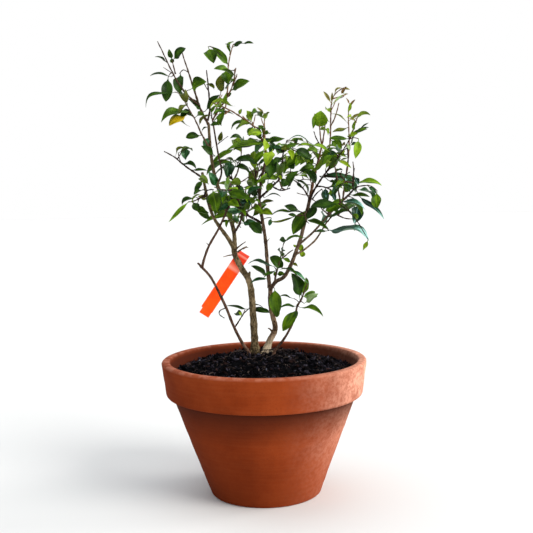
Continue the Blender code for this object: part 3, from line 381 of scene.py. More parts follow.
# Leaves that the photograph shows one by one, by kind: root, tip, width and arch, in mm
SPRAYS = {
    "dark": (
        (-113, 327, -149, 307, 6, 0.25), (24, 246, 10, 236, 8, 0.06), (66, 187, 52, 168, 9, 0.05),
        (22, 107, 6, 121, 13, 0.05), (-80, 272, -99, 270, 9, 0.05), (-116, 368, -120, 381, 6, 0.08),
        (-114, 370, -99, 382, 11, 0.04), (-113, 362, -117, 369, 5, 0.05),
        (-121, 362, -138, 371, 4, 0.12), (-121, 346, -124, 315, 13, 0.05),
        (-117, 346, -144, 347, 5, 0.14), (-104, 350, -106, 325, 14, 0.05), (-80, 302, -97, 319, 8, 0.08),
        (-80, 276, -71, 283, 3, 0.15), (-75, 303, -56, 324, 9, 0.08), (-95, 303, -106, 297, 7, 0.05),
        (-68, 285, -56, 286, 6, 0.08), (-64, 300, -39, 299, 4, 0.10), (-39, 383, -28, 390, 6, 0.08),
        (-29, 388, -14, 388, 4, 0.06), (-42, 381, -50, 387, 3, 0.10), (-48, 320, -42, 326, 5, 0.05),
        (-104, 239, -86, 231, 8, 0.10), (-90, 232, -72, 229, 4, 0.05), (-62, 247, -80, 260, 9, 0.06),
        (-91, 191, -84, 178, 9, 0.05), (-21, 286, -42, 280, 7, 0.20), (-24, 267, -44, 269, 8, 0.15),
        (3, 262, 16, 267, 4, 0.08), (-9, 237, -38, 241, 12, 0.15), (-14, 226, -38, 233, 11, 0.12),
        (14, 244, 6, 219, 15, 0.04), (30, 240, 36, 231, 8, 0.05), (29, 221, 21, 209, 10, 0.05),
        (40, 216, 46, 207, 4, 0.05), (36, 257, 57, 243, 13, 0.06), (36, 262, 42, 269, 6, 0.08),
        (-8, 196, -20, 204, 9, 0.06), (-1, 195, 20, 196, 3, 0.20), (44, 178, 24, 185, 8, 0.06),
        (42, 172, 29, 174, 4, 0.06), (27, 142, 18, 142, 8, 0.05), (112, 278, 130, 283, 3, 0.06),
        (118, 281, 130, 289, 2, 0.06), (79, 217, 88, 213, 4, 0.05), (79, 168, 111, 174, 6, 0.18),
        (80, 154, 61, 152, 4, 0.05), (36, 69, 18, 71, 3, 0.15), (38, 61, 17, 56, 6, 0.12),
        (49, 70, 33, 101, 15, 0.05), (43, 57, 38, 43, 4, 0.05), (-74, 219, -88, 202, 7, 0.05),
        (93, 187, 57, 184, 11, 0.05), (-22, 166, -4, 150, 13, 0.05), (3, 97, -18, 110, 8, 0.06),
        (-22, 57, -49, 60, 4, 0.08), (8, 51, -9, 57, 4, 0.06)),
    "teal": (
        (-58, 302, -50, 302, 7, 0.05), (-97, 258, -99, 242, 10, 0.05), (-69, 271, -76, 258, 8, 0.05),
        (-43, 243, -48, 220, 13, 0.05), (26, 250, 10, 260, 8, 0.05), (8, 170, 5, 160, 5, 0.05),
        (76, 250, 91, 246, 9, 0.06), (68, 222, 113, 220, 7, 0.05), (130, 211, 139, 200, 5, 0.08),
        (71, 206, 78, 190, 9, 0.05), (62, 261, 28, 266, 3, 0.22), (48, 147, 27, 141, 4, 0.10),
        (54, 88, 30, 103, 5, 0.14), (2, 95, -19, 87, 6, 0.12)),
    "gloss": (
        (-32, 190, -17, 186, 9, 0.05), (112, 222, 117, 211, 6, 0.05), (118, 197, 149, 168, 7, 0.07),
        (94, 191, 125, 180, 9, 0.18), (117, 188, 111, 163, 15, 0.05), (79, 155, 130, 141, 17, 0.155),
        (75, 206, 76, 195, 6, 0.05), (84, 204, 88, 190, 5, 0.05)),
    "mid": (
        (-4, 261, -40, 254, 13, 0.12), (-3, 256, -12, 238, 8, 0.05), (42, 262, 25, 258, 6, 0.06),
        (88, 250, 72, 236, 9, 0.06), (56, 181, 35, 149, 15, 0.04), (-94, 303, -130, 289, 14, 0.13),
        (-71, 384, -64, 363, 17, 0.05), (-45, 360, -66, 384, 10, 0.05), (-94, 330, -73, 340, 17, 0.05),
        (-42, 354, -64, 356, 10, 0.05), (-49, 359, -46, 336, 15, 0.04), (-88, 181, -70, 176, 7, -0.15),
        (-1, 279, -9, 285, 6, 0.05), (-12, 286, -20, 272, 9, 0.06), (-16, 282, -6, 268, 9, 0.06),
        (-1, 266, 25, 269, 7, 0.03), (-37, 240, -73, 223, 12, 0.20), (26, 243, 24, 225, 7, 0.05),
        (60, 252, 44, 236, 10, 0.06), (62, 246, 52, 232, 8, 0.06), (62, 237, 42, 228, 8, 0.06),
        (-12, 208, -16, 220, 8, 0.05), (-6, 210, 0, 221, 8, 0.05), (10, 216, 3, 203, 8, 0.05),
        (38, 178, 8, 173, 5, 0.12), (50, 146, 26, 142, 4, 0.15), (62, 300, 60, 281, 6, 0.05),
        (103, 269, 80, 269, 6, 0.05), (110, 276, 128, 281, 5, 0.05), (84, 268, 96, 256, 12, 0.06),
        (110, 210, 100, 202, 10, 0.06), (106, 199, 131, 196, 5, 0.06), (13, 99, 24, 100, 6, 0.05),
        (10, 96, 12, 103, 5, 0.05), (44, 58, 73, 46, 7, 0.20), (12, 82, 15, 45, 15, 0.05),
        (40, 56, 22, 28, 13, 0.05), (-38, 257, -68, 236, 8, 0.06), (44, 250, 27, 236, 10, 0.06)),
    "fresh": (
        (-95, 190, -121, 164, 5, 0.05), (68, 280, 70, 304, 19, 0.04), (46, 223, 26, 224, 5, 0.05),
        (59, 216, 43, 223, 5, 0.10), (67, 255, 40, 259, 7, 0.10), (110, 277, 113, 292, 4, 0.05),
        (140, 204, 139, 181, 11, 0.04), (108, 175, 116, 169, 6, 0.05), (117, 269, 113, 244, 9, 0.05),
        (112, 213, 146, 210, 8, 0.12), (46, 250, 38, 234, 8, 0.05), (80, 204, 86, 196, 8, 0.05),
        (32, 114, 22, 119, 5, 0.06), (-49, 190, -32, 184, 11, 0.05)),
    "lime": (
        (-17, 290, -23, 304, 9, 0.04), (-32, 300, -29, 306, 4, 0.05), (10, 256, 2, 235, 13, 0.05),
        (30, 258, 34, 242, 8, 0.05), (58, 238, 45, 247, 9, 0.06), (-11, 178, 10, 174, 10, 0.05),
        (103, 300, 107, 314, 4, 0.06), (103, 272, 116, 275, 6, 0.06), (90, 243, 108, 232, 5, 0.06),
        (93, 246, 100, 254, 4, 0.05), (129, 143, 122, 129, 5, -0.15), (43, 128, 46, 137, 6, 0.05),
        (49, 129, 46, 121, 7, 0.05), (40, 133, 35, 136, 3, 0.05), (-28, 47, -33, 52, 4, 0.10),
        (17, 57, 14, 46, 6, 0.05)),
    # Painted highlight: pale leaves where light glints
    "pale": (
        (36, 253, 18, 262, 6, 0.08), (-45, 222, -47, 203, 7, 0.05), (84, 312, 98, 324, 3, 0.08),
        (104, 262, 106, 254, 4, 0.05), (49, 63, 67, 75, 9, 0.05)),
    "olive": (
        (-70, 340, -63, 332, 5, 0.05), (-54, 323, -53, 350, 12, 0.04), (-111, 247, -98, 257, 5, 0.25),
        (-57, 263, -54, 278, 6, 0.06), (-70, 193, -84, 197, 6, 0.06), (1, 299, 6, 302, 3, 0.05),
        (33, 257, 20, 256, 7, 0.05), (-5, 178, -14, 177, 4, 0.05), (-5, 190, 11, 191, 5, 0.06),
        (38, 172, 5, 166, 4, -0.12), (104, 288, 82, 300, 3, 0.12), (103, 283, 84, 277, 5, -0.06),
        (84, 275, 75, 281, 4, 0.05), (104, 244, 94, 242, 2, 0.05), (35, 114, 41, 109, 4, 0.06)),
    "straw": (
        (80, 314, 73, 328, 4, 0.06), (81, 313, 84, 327, 3, 0.06), (84, 322, 97, 332, 4, 0.22),
        (97, 332, 106, 330, 3, 0.05), (105, 291, 124, 301, 4, 0.08), (-2, 298, -10, 308, 3, 0.08)),
    "bronze": (
        (103, 331, 96, 325, 4, 0.08), (105, 308, 113, 318, 3, 0.08), (105, 312, 101, 320, 2, 0.05)),
    "yellow": (
        (-97, 299, -120, 285, 11, 0.05),),
}

# Fine twigs that it shows: thickness at foot and tip, and bends, in mm
FINE_TWIGS = (
    (1.8, 1.0, ((56, 193), (48, 206), (38, 216), (28, 220))),
    (1.1, 0.8, ((47, 207), (50, 211), (58, 211))), (1.0, 0.8, ((41, 214), (47, 218), (57, 217))),
    (1.0, 0.7, ((56, 198), (47, 199), (40, 201))),
    (1.6, 1.2, ((103, 258), (104, 243), (102, 230), (100, 214))),
    (1.3, 1.0, ((110, 205), (111, 222), (110, 240))), (1.5, 1.1, ((92, 212), (89, 225), (87, 237))),
    (1.8, 1.3, ((94, 190), (92, 203), (90, 214))),
    (1.2, 0.9, ((-50, 57), (-56, 54), (-57, 49), (-51, 45))),
    (1.6, 1.0, ((-112, 350), (-114, 358), (-116, 367))),
    (1.0, 0.6, ((-115, 350), (-121, 354), (-127, 358))),
    (1.2, 0.8, ((-96, 352), (-102, 355), (-107, 350))), (1.1, 0.7, ((-59, 262), (-53, 267), (-46, 272))),
    (1.6, 1.0, ((-39, 335), (-38, 345), (-38, 356))), (1.6, 1.1, ((59, 193), (64, 200), (71, 206))),
    (1.4, 0.9, ((68, 262), (64, 270), (61, 278))), (1.3, 0.8, ((-12, 218), (-16, 228), (-20, 233))),
    (1.3, 0.8, ((-12, 218), (-9, 228), (-6, 238))), (1.2, 0.8, ((-11, 214), (-4, 226), (0, 236))),
    (1.4, 1.0, ((-24, 173), (-34, 178), (-46, 181))), (1.3, 0.9, ((-3, 162), (-14, 168), (-24, 173))),
    (0.9, 0.8, ((-45, 360), (-57, 374), (-66, 383))),
)

# Where the photograph shows sky through or beside the crown: centre and radius, in mm
SKY = (
    (-99, 387, 5), (-133, 391, 4), (-114, 388, 4), (-33, 373, 5), (-33, 359, 6), (-24, 357, 6),
    (-24, 394, 4), (-32, 320, 7), (-40, 309, 5), (-48, 293, 4), (-62, 328, 4), (-81, 325, 5),
    (-76, 313, 4), (-76, 320, 4), (-90, 283, 5), (-98, 266, 4), (-135, 355, 4), (-103, 205, 8),
    (-98, 172, 9), (-115, 230, 6), (-68, 210, 4), (-77, 186, 4), (-90, 214, 6), (-93, 222, 5),
    (-100, 215, 8), (-87, 165, 5), (-105, 168, 8), (14, 281, 7), (26, 277, 5), (32, 285, 8),
    (45, 285, 8), (-28, 223, 9), (33, 203, 8), (45, 201, 5), (20, 190, 6), (35, 190, 7), (16, 247, 4),
    (-46, 284, 4), (-24, 254, 5), (20, 158, 9), (10, 150, 7), (30, 158, 4), (15, 181, 4), (-15, 174, 5),
    (-12, 292, 4), (8, 292, 6), (-32, 148, 8), (-20, 145, 8), (92, 305, 7), (98, 312, 6), (88, 289, 5),
    (96, 290, 4), (117, 310, 6), (122, 291, 5), (125, 265, 8), (124, 252, 6), (130, 240, 10),
    (120, 228, 8), (50, 283, 8), (48, 292, 8), (55, 274, 4), (83, 231, 4), (72, 213, 4), (94, 200, 4),
    (100, 171, 4), (92, 168, 4), (95, 163, 4), (104, 165, 4), (30, 128, 6), (32, 136, 5), (-8, 75, 7),
    (25, 84, 5), (65, 95, 6), (27, 190, 6), (-36, 226, 5), (-25, 311, 6), (-8, 290, 4), (62, 172, 5),
    (62, 158, 4), (88, 166, 4), (-24, 155, 6), (-8, 84, 4), (74, 216, 4), (84, 219, 4), (100, 236, 4),
    (107, 228, 4), (112, 240, 5), (17, 203, 6), (-110, 278, 6), (-104, 282, 4), (24, 148, 4),
    (-28, 214, 5), (-22, 232, 5), (66, 272, 4), (-92, 380, 5), (78, 343, 4), (12, 292, 7), (-20, 311, 6),
    (-34, 297, 4), (-118, 278, 6), (60, 290, 3), (8, 283, 5), (-114, 310, 5), (92, 287, 5), (24, 208, 5),
    (12, 206, 5), (40, 208, 4), (92, 341, 6), (84, 347, 4), (-38, 300, 4), (16, 305, 8), (-8, 318, 8),
    (-18, 325, 6), (108, 338, 6), (24, 296, 7), (-116, 336, 3), (-46, 374, 5), (93, 319, 4),
    (-55, 221, 5), (-110, 320, 4),
)

# Bark kinds: pale and dark
BARK_KINDS = {
    "bark_grey": ((0.275, 0.203, 0.108), (0.026, 0.018, 0.008)),
    "bark_rosy": ((0.290, 0.188, 0.115), (0.036, 0.018, 0.010)),
    "bark_dark": ((0.140, 0.078, 0.052), (0.014, 0.006, 0.005)),
    "bark_gloomy": ((0.225, 0.148, 0.095), (0.018, 0.010, 0.007)),
}
BARK_OF = {
    "stem_left": "bark_grey", "bough_left_main": "bark_grey", "bough_left_outer": "bark_grey",
    "bough_centre": "bark_gloomy", "stem_right": "bark_rosy", "bough_right": "bark_gloomy",
    "stem_whip_lower": "bark_dark", "stem_whip_upper": "bark_dark", "stem_low_right": "bark_dark",
    "bough_left_thin": "bark_gloomy", "bough_right_arm": "bark_gloomy", "bough_right_under": "bark_gloomy",
}
BARK_SIDES = 18
BARK_RING = 1.3 * MM           # between two rings of a limb's fine mesh

# Dead stubs, thorns, old cuts and root toes: kind of bark, foot and tip, thickness there in mm
STUBS = (
    ("bark_gloomy", (-37, 130, 3), (-24, 140, -4), 2.3, 1.0),
    ("bark_gloomy", (-34, 127, 3), (-23, 134, -2), 2.2, 1.3),
    ("bark_gloomy", (-27, 131, 0), (-21, 133, -3), 1.6, 0.9),
    ("bark_gloomy", (-36, 124, 3), (-52, 121, -8), 2.2, 0.9),
    ("bark_grey", (1, 111, 4), (-7, 118, -2), 1.3, 0.5),
    ("bark_grey", (-20, 95, 2), (-19, 102, 0), 4.2, 2.6),
    ("bark_rosy", (9, 27, 3), (4, 31, 0), 2.8, 1.3),
    ("bark_rosy", (5, 8, 2), (-5, -1, -3), 3.4, 2.2),
    ("bark_rosy", (6, 4, 2), (12, -2, -4), 2.6, 1.6),
    ("bark_grey", (-13, 6, 0), (-20, -2, -4), 3.4, 2.2),
    ("bark_grey", (-11, 6, 0), (-5, -2, -5), 3.2, 2.0),
    ("bark_dark", (-67, 94, -24), (-69, 99, -27), 1.4, 0.4),
    ("bark_dark", (-54, 70, -22), (-51, 76, -25), 1.5, 0.4),
    ("bark_dark", (-45, 47, -19), (-48, 52, -21), 1.3, 0.4),
    ("bark_dark", (-81, 110, -26), (-84, 113, -28), 2.8, 2.4),
    ("bark_dark", (-70, 135, -30), (-74, 139, -32), 1.3, 0.4),
    ("bark_dark", (-58, 156, -32), (-55, 162, -34), 1.2, 0.4),
    ("bark_grey", (-47, 177, 11), (-51, 183, 8), 1.4, 0.5),
    ("bark_grey", (-68, 252, 16), (-64, 258, 13), 1.3, 0.5),
    ("bark_grey", (2, 139, 9), (6, 144, 6), 1.4, 0.5),
    ("bark_rosy", (40, 131, -12), (44, 137, -16), 1.3, 0.5),
    ("bark_dark", (30, 27, -10), (34, 31, -12), 1.2, 0.4),
    ("bark_dark", (-66, 292, 29), (-66, 300, 31), 2.0, 1.2),
)

# The camera, fitted to the pot's outline in the photograph
CAMERA_PLACE = (0, -1.050, 0.364)
CAMERA_DOWN = 0.0820           # radians
CAMERA_TURN = 0.00453          # radians to the right
CAMERA_ROLL = 0.0163           # radians, its top towards the right
FOCAL = 865                    # in pixels of the photograph
IMAGE_SIZE = 533
IMAGE_MIDDLE = IMAGE_SIZE / 2
SENSOR = 36
READ_FROM = (265, 353.8)       # the pixel that the readings in mm count from
READ_SCALE = 1.25              # mm for each pixel

# Soft studio lights: where each shines from, strength, width in degrees, colour
LIGHTS = {
    "key": ((1.15, -0.75, 0.9), 2.7, 34, (1.0, 0.98, 0.93)),
    "top": ((-0.25, 0.35, 1.6), 1.2, 60, (0.94, 0.98, 1.0)),
    "side": ((1.5, 0.35, 0.55), 1.7, 26, (1.0, 0.97, 0.93)),
    "fill": ((0.5, -1.3, 0.05), 0.42, 60, (1.0, 0.97, 0.94)),
}
SURROUND = ((0.0, (1, 1, 1)), (0.26, (1, 1, 1)), (0.6, (0.34, 0.36, 0.38)))
FLOOR_COLOUR = (0.72, 0.72, 0.72)
FLOOR_RADIUS = 14

# Seeds, and what is added to a mass's own seed for its extras and for its fine shapes
SPRAY_SEED = 41
MEASURED_SEED = 3
BARK_SEED = 7
CRUMB_SEED = 5
EXTRA_SEED = 100
FINE_SEED = 200

# Which twigs and leaves give way to the sky and to measured leaves
SAME_TIP = 7                   # how near in mm two tips are read as one leaf's
SKY_TESTS = (0.4, 0.6, 0.8, 1.0)   # where along a leaf the sky is looked for
SKY_MARGIN = 0.25              # of a rule leaf's width, kept clear of the sky
SKY_TWIG = -2.5                # how far in mm a twig may stand in the sky

# The measured leaves and fine twigs
FRONT_FIRST = 0.12             # how much a nearer twig is preferred as a leaf's bearer
BEARER_STEP = 2 * MM
TWIG_AHEAD = (0, 4)            # how far in mm each bend of a fine twig stands before the last
SPRAY_TRIES = 5
SPRAY_STEPS = 3
SPRAY_REACH = (-0.5, 0.15)     # how far a tip stands in front of or behind its root, in lengths
SPRAY_ARCH = 0.1               # arch from which a leaf shows its side
SPRAY_SIDE = Vector((0, -0.75, 1))
SPRAY_TURN = 0.3
STALK_REACH = 3.5              # how far in mm a leaf's root is moved to stand on its bearer
STALK_ENDS = (1.1 * MM, 0.8 * MM)
STALK_RISE = 0.12

# Short spurs with a tuft of small leaves
SPRAY_SHARE = 0.6              # share of a spray's leaves that take its own kind
BARE_SPURS = 0.5               # share of the spurs without room for leaves that stay, bare
SPUR_PLACE = (0.12, 0.97)
SPUR_LEAN = (35, 75)
SPUR_LENGTH = (4 * MM, 13 * MM)
SPUR_RISE = 0.2
SPUR_FOOT = 1.2 * MM
SPUR_TIP = 0.8 * MM
SPUR_LEAVES = (1, 3)
SPUR_LEAF_LEAN = (20, 70)
SPUR_LEAF_SIZE = (15 * MM, 36 * MM)
SPUR_LEAF_WIDTH = (0.25, 0.36)
SPUR_LEAF_ARCH = (0.06, 0.2)
SPUR_LEAF_LIFT = 0.6           # what a spur's leaf keeps of its rise
SPUR_LEAF_DROOP = 0.5          # of another leaf's droop

# The visible leaf: rows and columns of its mesh, then its stalk, outline, folds and waves
LEAF_ROWS = 13
LEAF_COLUMNS = 6
STALK_LENGTH = 4 * MM
STALK_MOST = 0.2               # of the leaf's length
STALK_HALF = 0.45 * MM
SHEET_HALF = 0.1 * MM          # half the thickness of the visible leaf
LEAF_BELLY = (0.55, 0.8)
LEAF_POINT = (0.8, 1.15)
LEAF_FULL = 1.12               # its widest place, over the measured width
LEAF_FOLD = (0.25, 0.8)
FOLD_ROUND = 1.4
FOLD_NARROWS = 0.12
FOLD_WHOLE = 0.4               # how far along the blade the fold is fully there
LEAF_WAVE = (0.02, 0.13)
WAVE_TURNS = 9                 # radians of wave along an edge
WAVE_SHIFT = 2                 # radians between its two edges
LEAF_TWIST = 0.5
TWIST_FROM = 0.3
LEAF_SAG = (-0.02, 0.05)

# The bark's relief: waves for each metre round the limb and along it, and their depth
BARK_STREAKS = (700, 120, 0.07)
BARK_CRACKS = (1500, 330, 0.05)
BARK_LUMPS = (110, 0.11)
BARK_STEPS = 10
NODE_FIRST = (5 * MM, 15 * MM)
NODE_NEXT = (11 * MM, 21 * MM)
NODE_SWELLS = (0.09, 1.6 * MM)      # how much and how far along
FORK_SWELLS = (0.28, 3.5 * MM)
STUB_BEND = (0.55, 0.6 * MM)        # where along a stub, and how high
STUB_RING = 1.2 * MM
STUB_STEPS = 3
STUB_SIDES = 10

# Twigs: rings and sides of their mesh, how crooked they are, and the swelling at each node
TWIG_RING = 1.5 * MM
SWAY_STEPS = 4
SHOOT_SIDES = 8
SPUR_SIDES = 6
SHOOT_THINS = 0.7              # a shoot's tip, over the CAD's
SWAY = 1.1                     # in mm
SWAY_SHIFTS = (0, 20.5, 41.3)   # where in the noise the sway to each side is read
SWAY_FULL = 0.3                # how far along a twig its sway is fully there
SWAY_WAVES = 130
TWIG_NODES = 9 * MM
TWIG_SWELLS = 0.32
YOUNG = ("leaves_right_shoots", "leaves_right_top", "leaves_centre_top", "leaves_top_middle")

# The pot's mesh and relief. A relief is its waves for each metre and its height in mm.
POT_TURNS = 224
POT_STEP = 3 * MM              # longest stretch of the outline between two rings
RIM_FILLET = 1.6 * MM
POT_SHARP = 50
POT_WANDER = (14, 0.5)
POT_DENTS = ((130, 0.16), (420, 0.1))
TURNING_MARKS = (2400, 0.11)
TURNING_STRAY = (25, 3)
DRAIN_SIDES = 40

# The compost's mesh and lumps
SOIL_SINK = 4.5 * MM           # how much lower than in the CAD the loose edge of the compost lies
SOIL_SINK_AT = (0.35, 0.9)
SOIL_RINGS = 96
SOIL_ROOM = 1.5                # gaps between the compost and the wall
SOIL_RIM = 0.999               # of its radius, from where its edge stays as it is
SOIL_TURNS = 260
SOIL_CLODS = ((60, 3.0), (140, 2.4), (330, 1.4), (900, 0.45))
CLOD_RIDGE = 1.8
COMPOST_COLOURS = ((0.0010, 0.0010, 0.0016), (0.018, 0.014, 0.016))

# Loose bits on the compost: how many, from and to size in mm, flatness, dark and pale colour
CRUMBS = {
    "crumbs_dark": (2450, 1.0, 5.6, 0.34, (0.0007, 0.0006, 0.0013), (0.064, 0.056, 0.078)),
    "crumbs_brown": (420, 1.2, 6.0, 0.3, (0.004, 0.002, 0.002), (0.080, 0.040, 0.036)),
    "crumbs_pale": (90, 0.8, 2.4, 0.8, (0.05, 0.05, 0.07), (0.26, 0.27, 0.33)),
}
CRUMB_REACH = 0.97             # of the compost's radius
CRUMB_SMALLER = 2.4            # the higher, the more of them are small
CRUMB_STRETCH = (0.6, 2.4)
CRUMB_ROUGH = (2.6, 1.1)
CRUMB_LIFT = 0.12

# Fibres, and fine roots at a stem's foot: its place across in mm, and how many
FIBRES = 760
FIBRE_REACH = 0.93
FIBRE_SIZE = (2, 12)
FIBRE_BEND = 0.9
FIBRE_HALF = (0.15, 0.42)
FIBRE_RISE = (0.6, 1.2)
FIBRE_STEPS = 5
FIBRE_SIDES = 5
ROOT_FEET = ((-27, 7), (-12, 8), (3, 10), (22, 9))
ROOT_SIZE = (9, 34)
ROOT_BEND = 1.2
ROOT_HALF = (0.25, 0.6)
ROOT_RISE = (5.0, 4.0, 0.4)     # at its foot, in its middle, and least
ROOT_STEPS = 8
ROOT_SIDES = 6
ROOT_THINS = 0.08              # with each step
FIBRE_COLOURS = ((0.012, 0.008, 0.008), (0.17, 0.125, 0.105))

# The tag as measured, in mm: foot and top of its strip, and how far away it stands along it
TAG_FOOT = (-77.5, 48)
TAG_TOP = (-26, 125.5)
TAG_RUN = 90
TAG_WIDTH = 16 * MM
TAG_START = 2
TAG_BENDS = ((0.62, 6), (0.7, 5.2), (0.76, 6.5), (0.84, LABEL_BACK - 0.5))
TAG_MARKS = (0, 4, 7.4, 7.6, 14, 22, 30, 40, 50)
TAG_COLUMNS = 8
TAG_FOLD_STEPS = 8
TAG_CURL = 0.35 * MM
TAG_NARROW = 0.84              # the foot's width, over the strip's
TAG_NARROW_TO = 7.5
TAG_NARROW_SIDE = 0.6
TAG_SHARP = 60

# Leaf colours: shades, the tint of the shine, and how much a leaf brightens across and along itself
LEAF_SHADES = (0.68, 1.28)     # the sum of noises that is fully shaded and fully bright
LEAF_SHEEN = {"dark": (0.8, 1.0, 0.72, 1), "teal": (0.6, 1.0, 0.62, 1), "gloss": (0.7, 1.0, 0.95, 1)}
# A gloss leaf brightens towards its tip in a painted highlight; a yellow leaf's two tones across it are its
# own colour
LEAF_LEANS = {"gloss": (0.0, 0.72), "yellow": (-0.62, 0.0)}

# Twig and bark colours
TWIG_SHADES = {
    "twigs_brown": (
        (0.30, (0.012, 0.006, 0.005)), (0.52, (0.040, 0.022, 0.014)), (0.78, (0.13, 0.085, 0.055))),
    "twigs_young": (
        (0.25, (0.070, 0.030, 0.014)), (0.5, (0.150, 0.075, 0.036)), (0.75, (0.240, 0.145, 0.075))),
}
BARK_CROWN_SHADE = (130, 215)        # heights in mm between which the bark darkens into painted shade in the crown
BARK_LOW = (75, 40)            # heights in mm between which the grey bark turns dark
BARK_EARTH = (26, 9)           # heights in mm between which the rosy bark turns pale
BARK_FOOT = (1.0, 0.86, 0.62)

# Clay colours: the body's shades, then marks, painted light and painted shade laid over them
CLAY_SHADES = ((0.3, (0.145, 0.019, 0.003)), (0.5, (0.220, 0.033, 0.006)), (0.72, (0.290, 0.050, 0.011)))
CLAY_RINGS = (0.30, 0.070, 0.022)
CLAY_GRAIN = (0.11, 0.019, 0.006)
# Painted shade, darkest towards the bottom left of the pot
CLAY_PAINTED_SHADE = (0.085, 0.013, 0.003)
# Painted highlight: pale pink laid over the pot's right side, strongest high up
CLAY_PAINTED_HIGHLIGHT = (0.82, 0.40, 0.28)
# Painted highlight along the top of the lip
CLAY_LIP_HIGHLIGHT = (0.44, 0.18, 0.12)
# Painted shade on the inner wall and on the body just under the rim
CLAY_RECESS_SHADE = (0.052, 0.011, 0.005)

# Tag colours: the body's shades, its painted glow, scuffs, and where along the tag it is deeper red with
# painted shade in its fold and where it carries painted highlights
TAG_SHADES = ((0.35, (0.88, 0.050, 0.001)), (0.65, (0.98, 0.085, 0.002)))
# Painted glow: the tag's faint orange emission, though it is no lamp
TAG_PAINTED_GLOW = (1.0, 0.06, 0.0, 1)
TAG_SCUFF = (1.0, 0.24, 0.08)
# Deeper red over the fold: partly the plastic's redder colour, partly painted shade inside the fold
TAG_FOLD_RED_AND_SHADE = (0.72, 0.022, 0.008)
TAG_FOLD_RED_AND_SHADE_AT = ((0.84, 0), (0.87, 1), (0.96, 1))
# Painted highlights: a pale band where the strip bends back and a pale line on the fold's crest
TAG_HIGHLIGHT = (1.0, 0.60, 0.48)
TAG_HIGHLIGHT_AT = ((0.73, 0), (0.77, 1), (0.82, 0.4), (0.86, 0), (0.955, 0), (0.985, 1), (1.0, 0.1))


def spot(across, up, away):
    """The place of a measured point."""
    depth = away * DEPTH * MM
    scale = 1 + depth / EYE_DISTANCE
    side = (CLUMP_ACROSS + across + up * LEAN) * MM * scale
    rise = (CLUMP_UP + up - across * LEAN) * MM - EYE_HEIGHT
    return Vector((side, CLUMP_AWAY + depth, GROUND + GAP + EYE_HEIGHT + rise * scale))


def smooth(knots, steps):
    """Points on a smooth curve through the knots."""
    points = []
    for i in range(len(knots) - 1):
        before = knots[max(i - 1, 0)]
        start, end = knots[i], knots[i + 1]
        after = knots[min(i + 2, len(knots) - 1)]
        for step in range(steps):
            t = step / steps
            points.append(0.5 * (2 * start + (end - before) * t
                                 + (2 * before - 5 * start + 4 * end - after) * t * t
                                 + (3 * start - before - 3 * end + after) * t ** 3))
    points.append(knots[-1].copy())
    return points


def fractions(points):
    """How far along the line each point lies, from 0 to 1."""
    lengths = [0.0]
    for a, b in zip(points, points[1:]):
        lengths.append(lengths[-1] + (b - a).length)
    return [length / lengths[-1] for length in lengths]


def size_of(points):
    """A line's length."""
    return sum((b - a).length for a, b in zip(points, points[1:]))


def blend(values, t):
    """Reads a row of values, spread evenly from 0 to 1, at t."""
    place = min(max(t, 0), 1) * (len(values) - 1)
    i = min(int(place), len(values) - 2)
    return values[i] + (values[i + 1] - values[i]) * (place - i)


def stretch(marks, t):
    """Between which two marks t lies, and how far from one to the other."""
    i = 0
    while i < len(marks) - 2 and marks[i + 1] < t:
        i += 1
    return i, (t - marks[i]) / (marks[i + 1] - marks[i])


def along(points, t):
    """The point at t of a line's length, and the line's direction there."""
    i, share = stretch(fractions(points), t)
    return points[i].lerp(points[i + 1], share), (points[i + 1] - points[i]).normalized()


def resample(points, spacing):
    """Evenly spaced points on a line with their marks from 0 to 1, and the line's length."""
    size = size_of(points)
    count = max(int(size / spacing), 3)
    return [(along(points, i / count)[0], i / count) for i in range(count + 1)], size


def heading(points, i):
    """A line's direction at one of its points."""
    return (points[min(i + 1, len(points) - 1)] - points[max(i - 1, 0)]).normalized()


def leaning(direction, turn, lean):
    """A direction that leans away from another one, at a turn round it."""
    across = direction.orthogonal().normalized()
    out = across * math.cos(turn) + direction.cross(across) * math.sin(turn)
    return direction * math.cos(lean) + out * math.sin(lean)


def step_between(low, high, value):
    """0 below low, 1 above high, smooth in between."""
    t = min(max((value - low) / (high - low), 0), 1)
    return t * t * (3 - 2 * t)


def skin_round(points, radii, sides, relief=None):
    """A tube's points, ring by ring. relief gives a share of the radius at a point of its surface."""
    skin = []
    across = Vector((1, 0, 0))
    for i, point in enumerate(points):
        direction = heading(points, i)
        across = (across - direction * across.dot(direction)).normalized()
        other = direction.cross(across)
        for side in range(sides):
            turn = math.tau * side / sides
            offset = across * math.cos(turn) + other * math.sin(turn)
            radius = radii[i]
            if relief:
                radius *= relief(point + offset * radius)
            skin.append(point + offset * radius)
    return skin


def ring_faces(rows, sides):
    """The faces between rings of points that follow one another in a list."""
    faces = []
    for low in range(0, rows * sides, sides):
        for side in range(sides):
            after = (side + 1) % sides
            faces.append((low + side, low + after, low + sides + after, low + sides + side))
    return faces


def tube(points, radii, sides):
    """The plain tapered tube that stands for a limb or shoot in the tests of the rule."""
    shape = bmesh.new()
    skin = [shape.verts.new(point) for point in skin_round(points, radii, sides)]
    for face in ring_faces(len(points) - 1, sides):
        shape.faces.new([skin[i] for i in face])
    shape.faces.new(skin[:sides][::-1])
    shape.faces.new(skin[-sides:])
    return shape


def limb_line(name, steps):
    """A limb's middle line and its thickness along it."""
    parent, thickness, knots = LIMBS[name]
    points = smooth([spot(*knot) for knot in knots], steps)
    base = GROUND + GAP
    if not parent:
        points[0].z = base
    radii = []
    for point, mark in zip(points, fractions(points)):
        radius = blend(thickness, mark) * MM / 2
        if not parent:
            radius *= 1 + FLARE * math.exp(-(point.z - base) / FLARE_HEIGHT)
        radii.append(radius)
    return points, radii


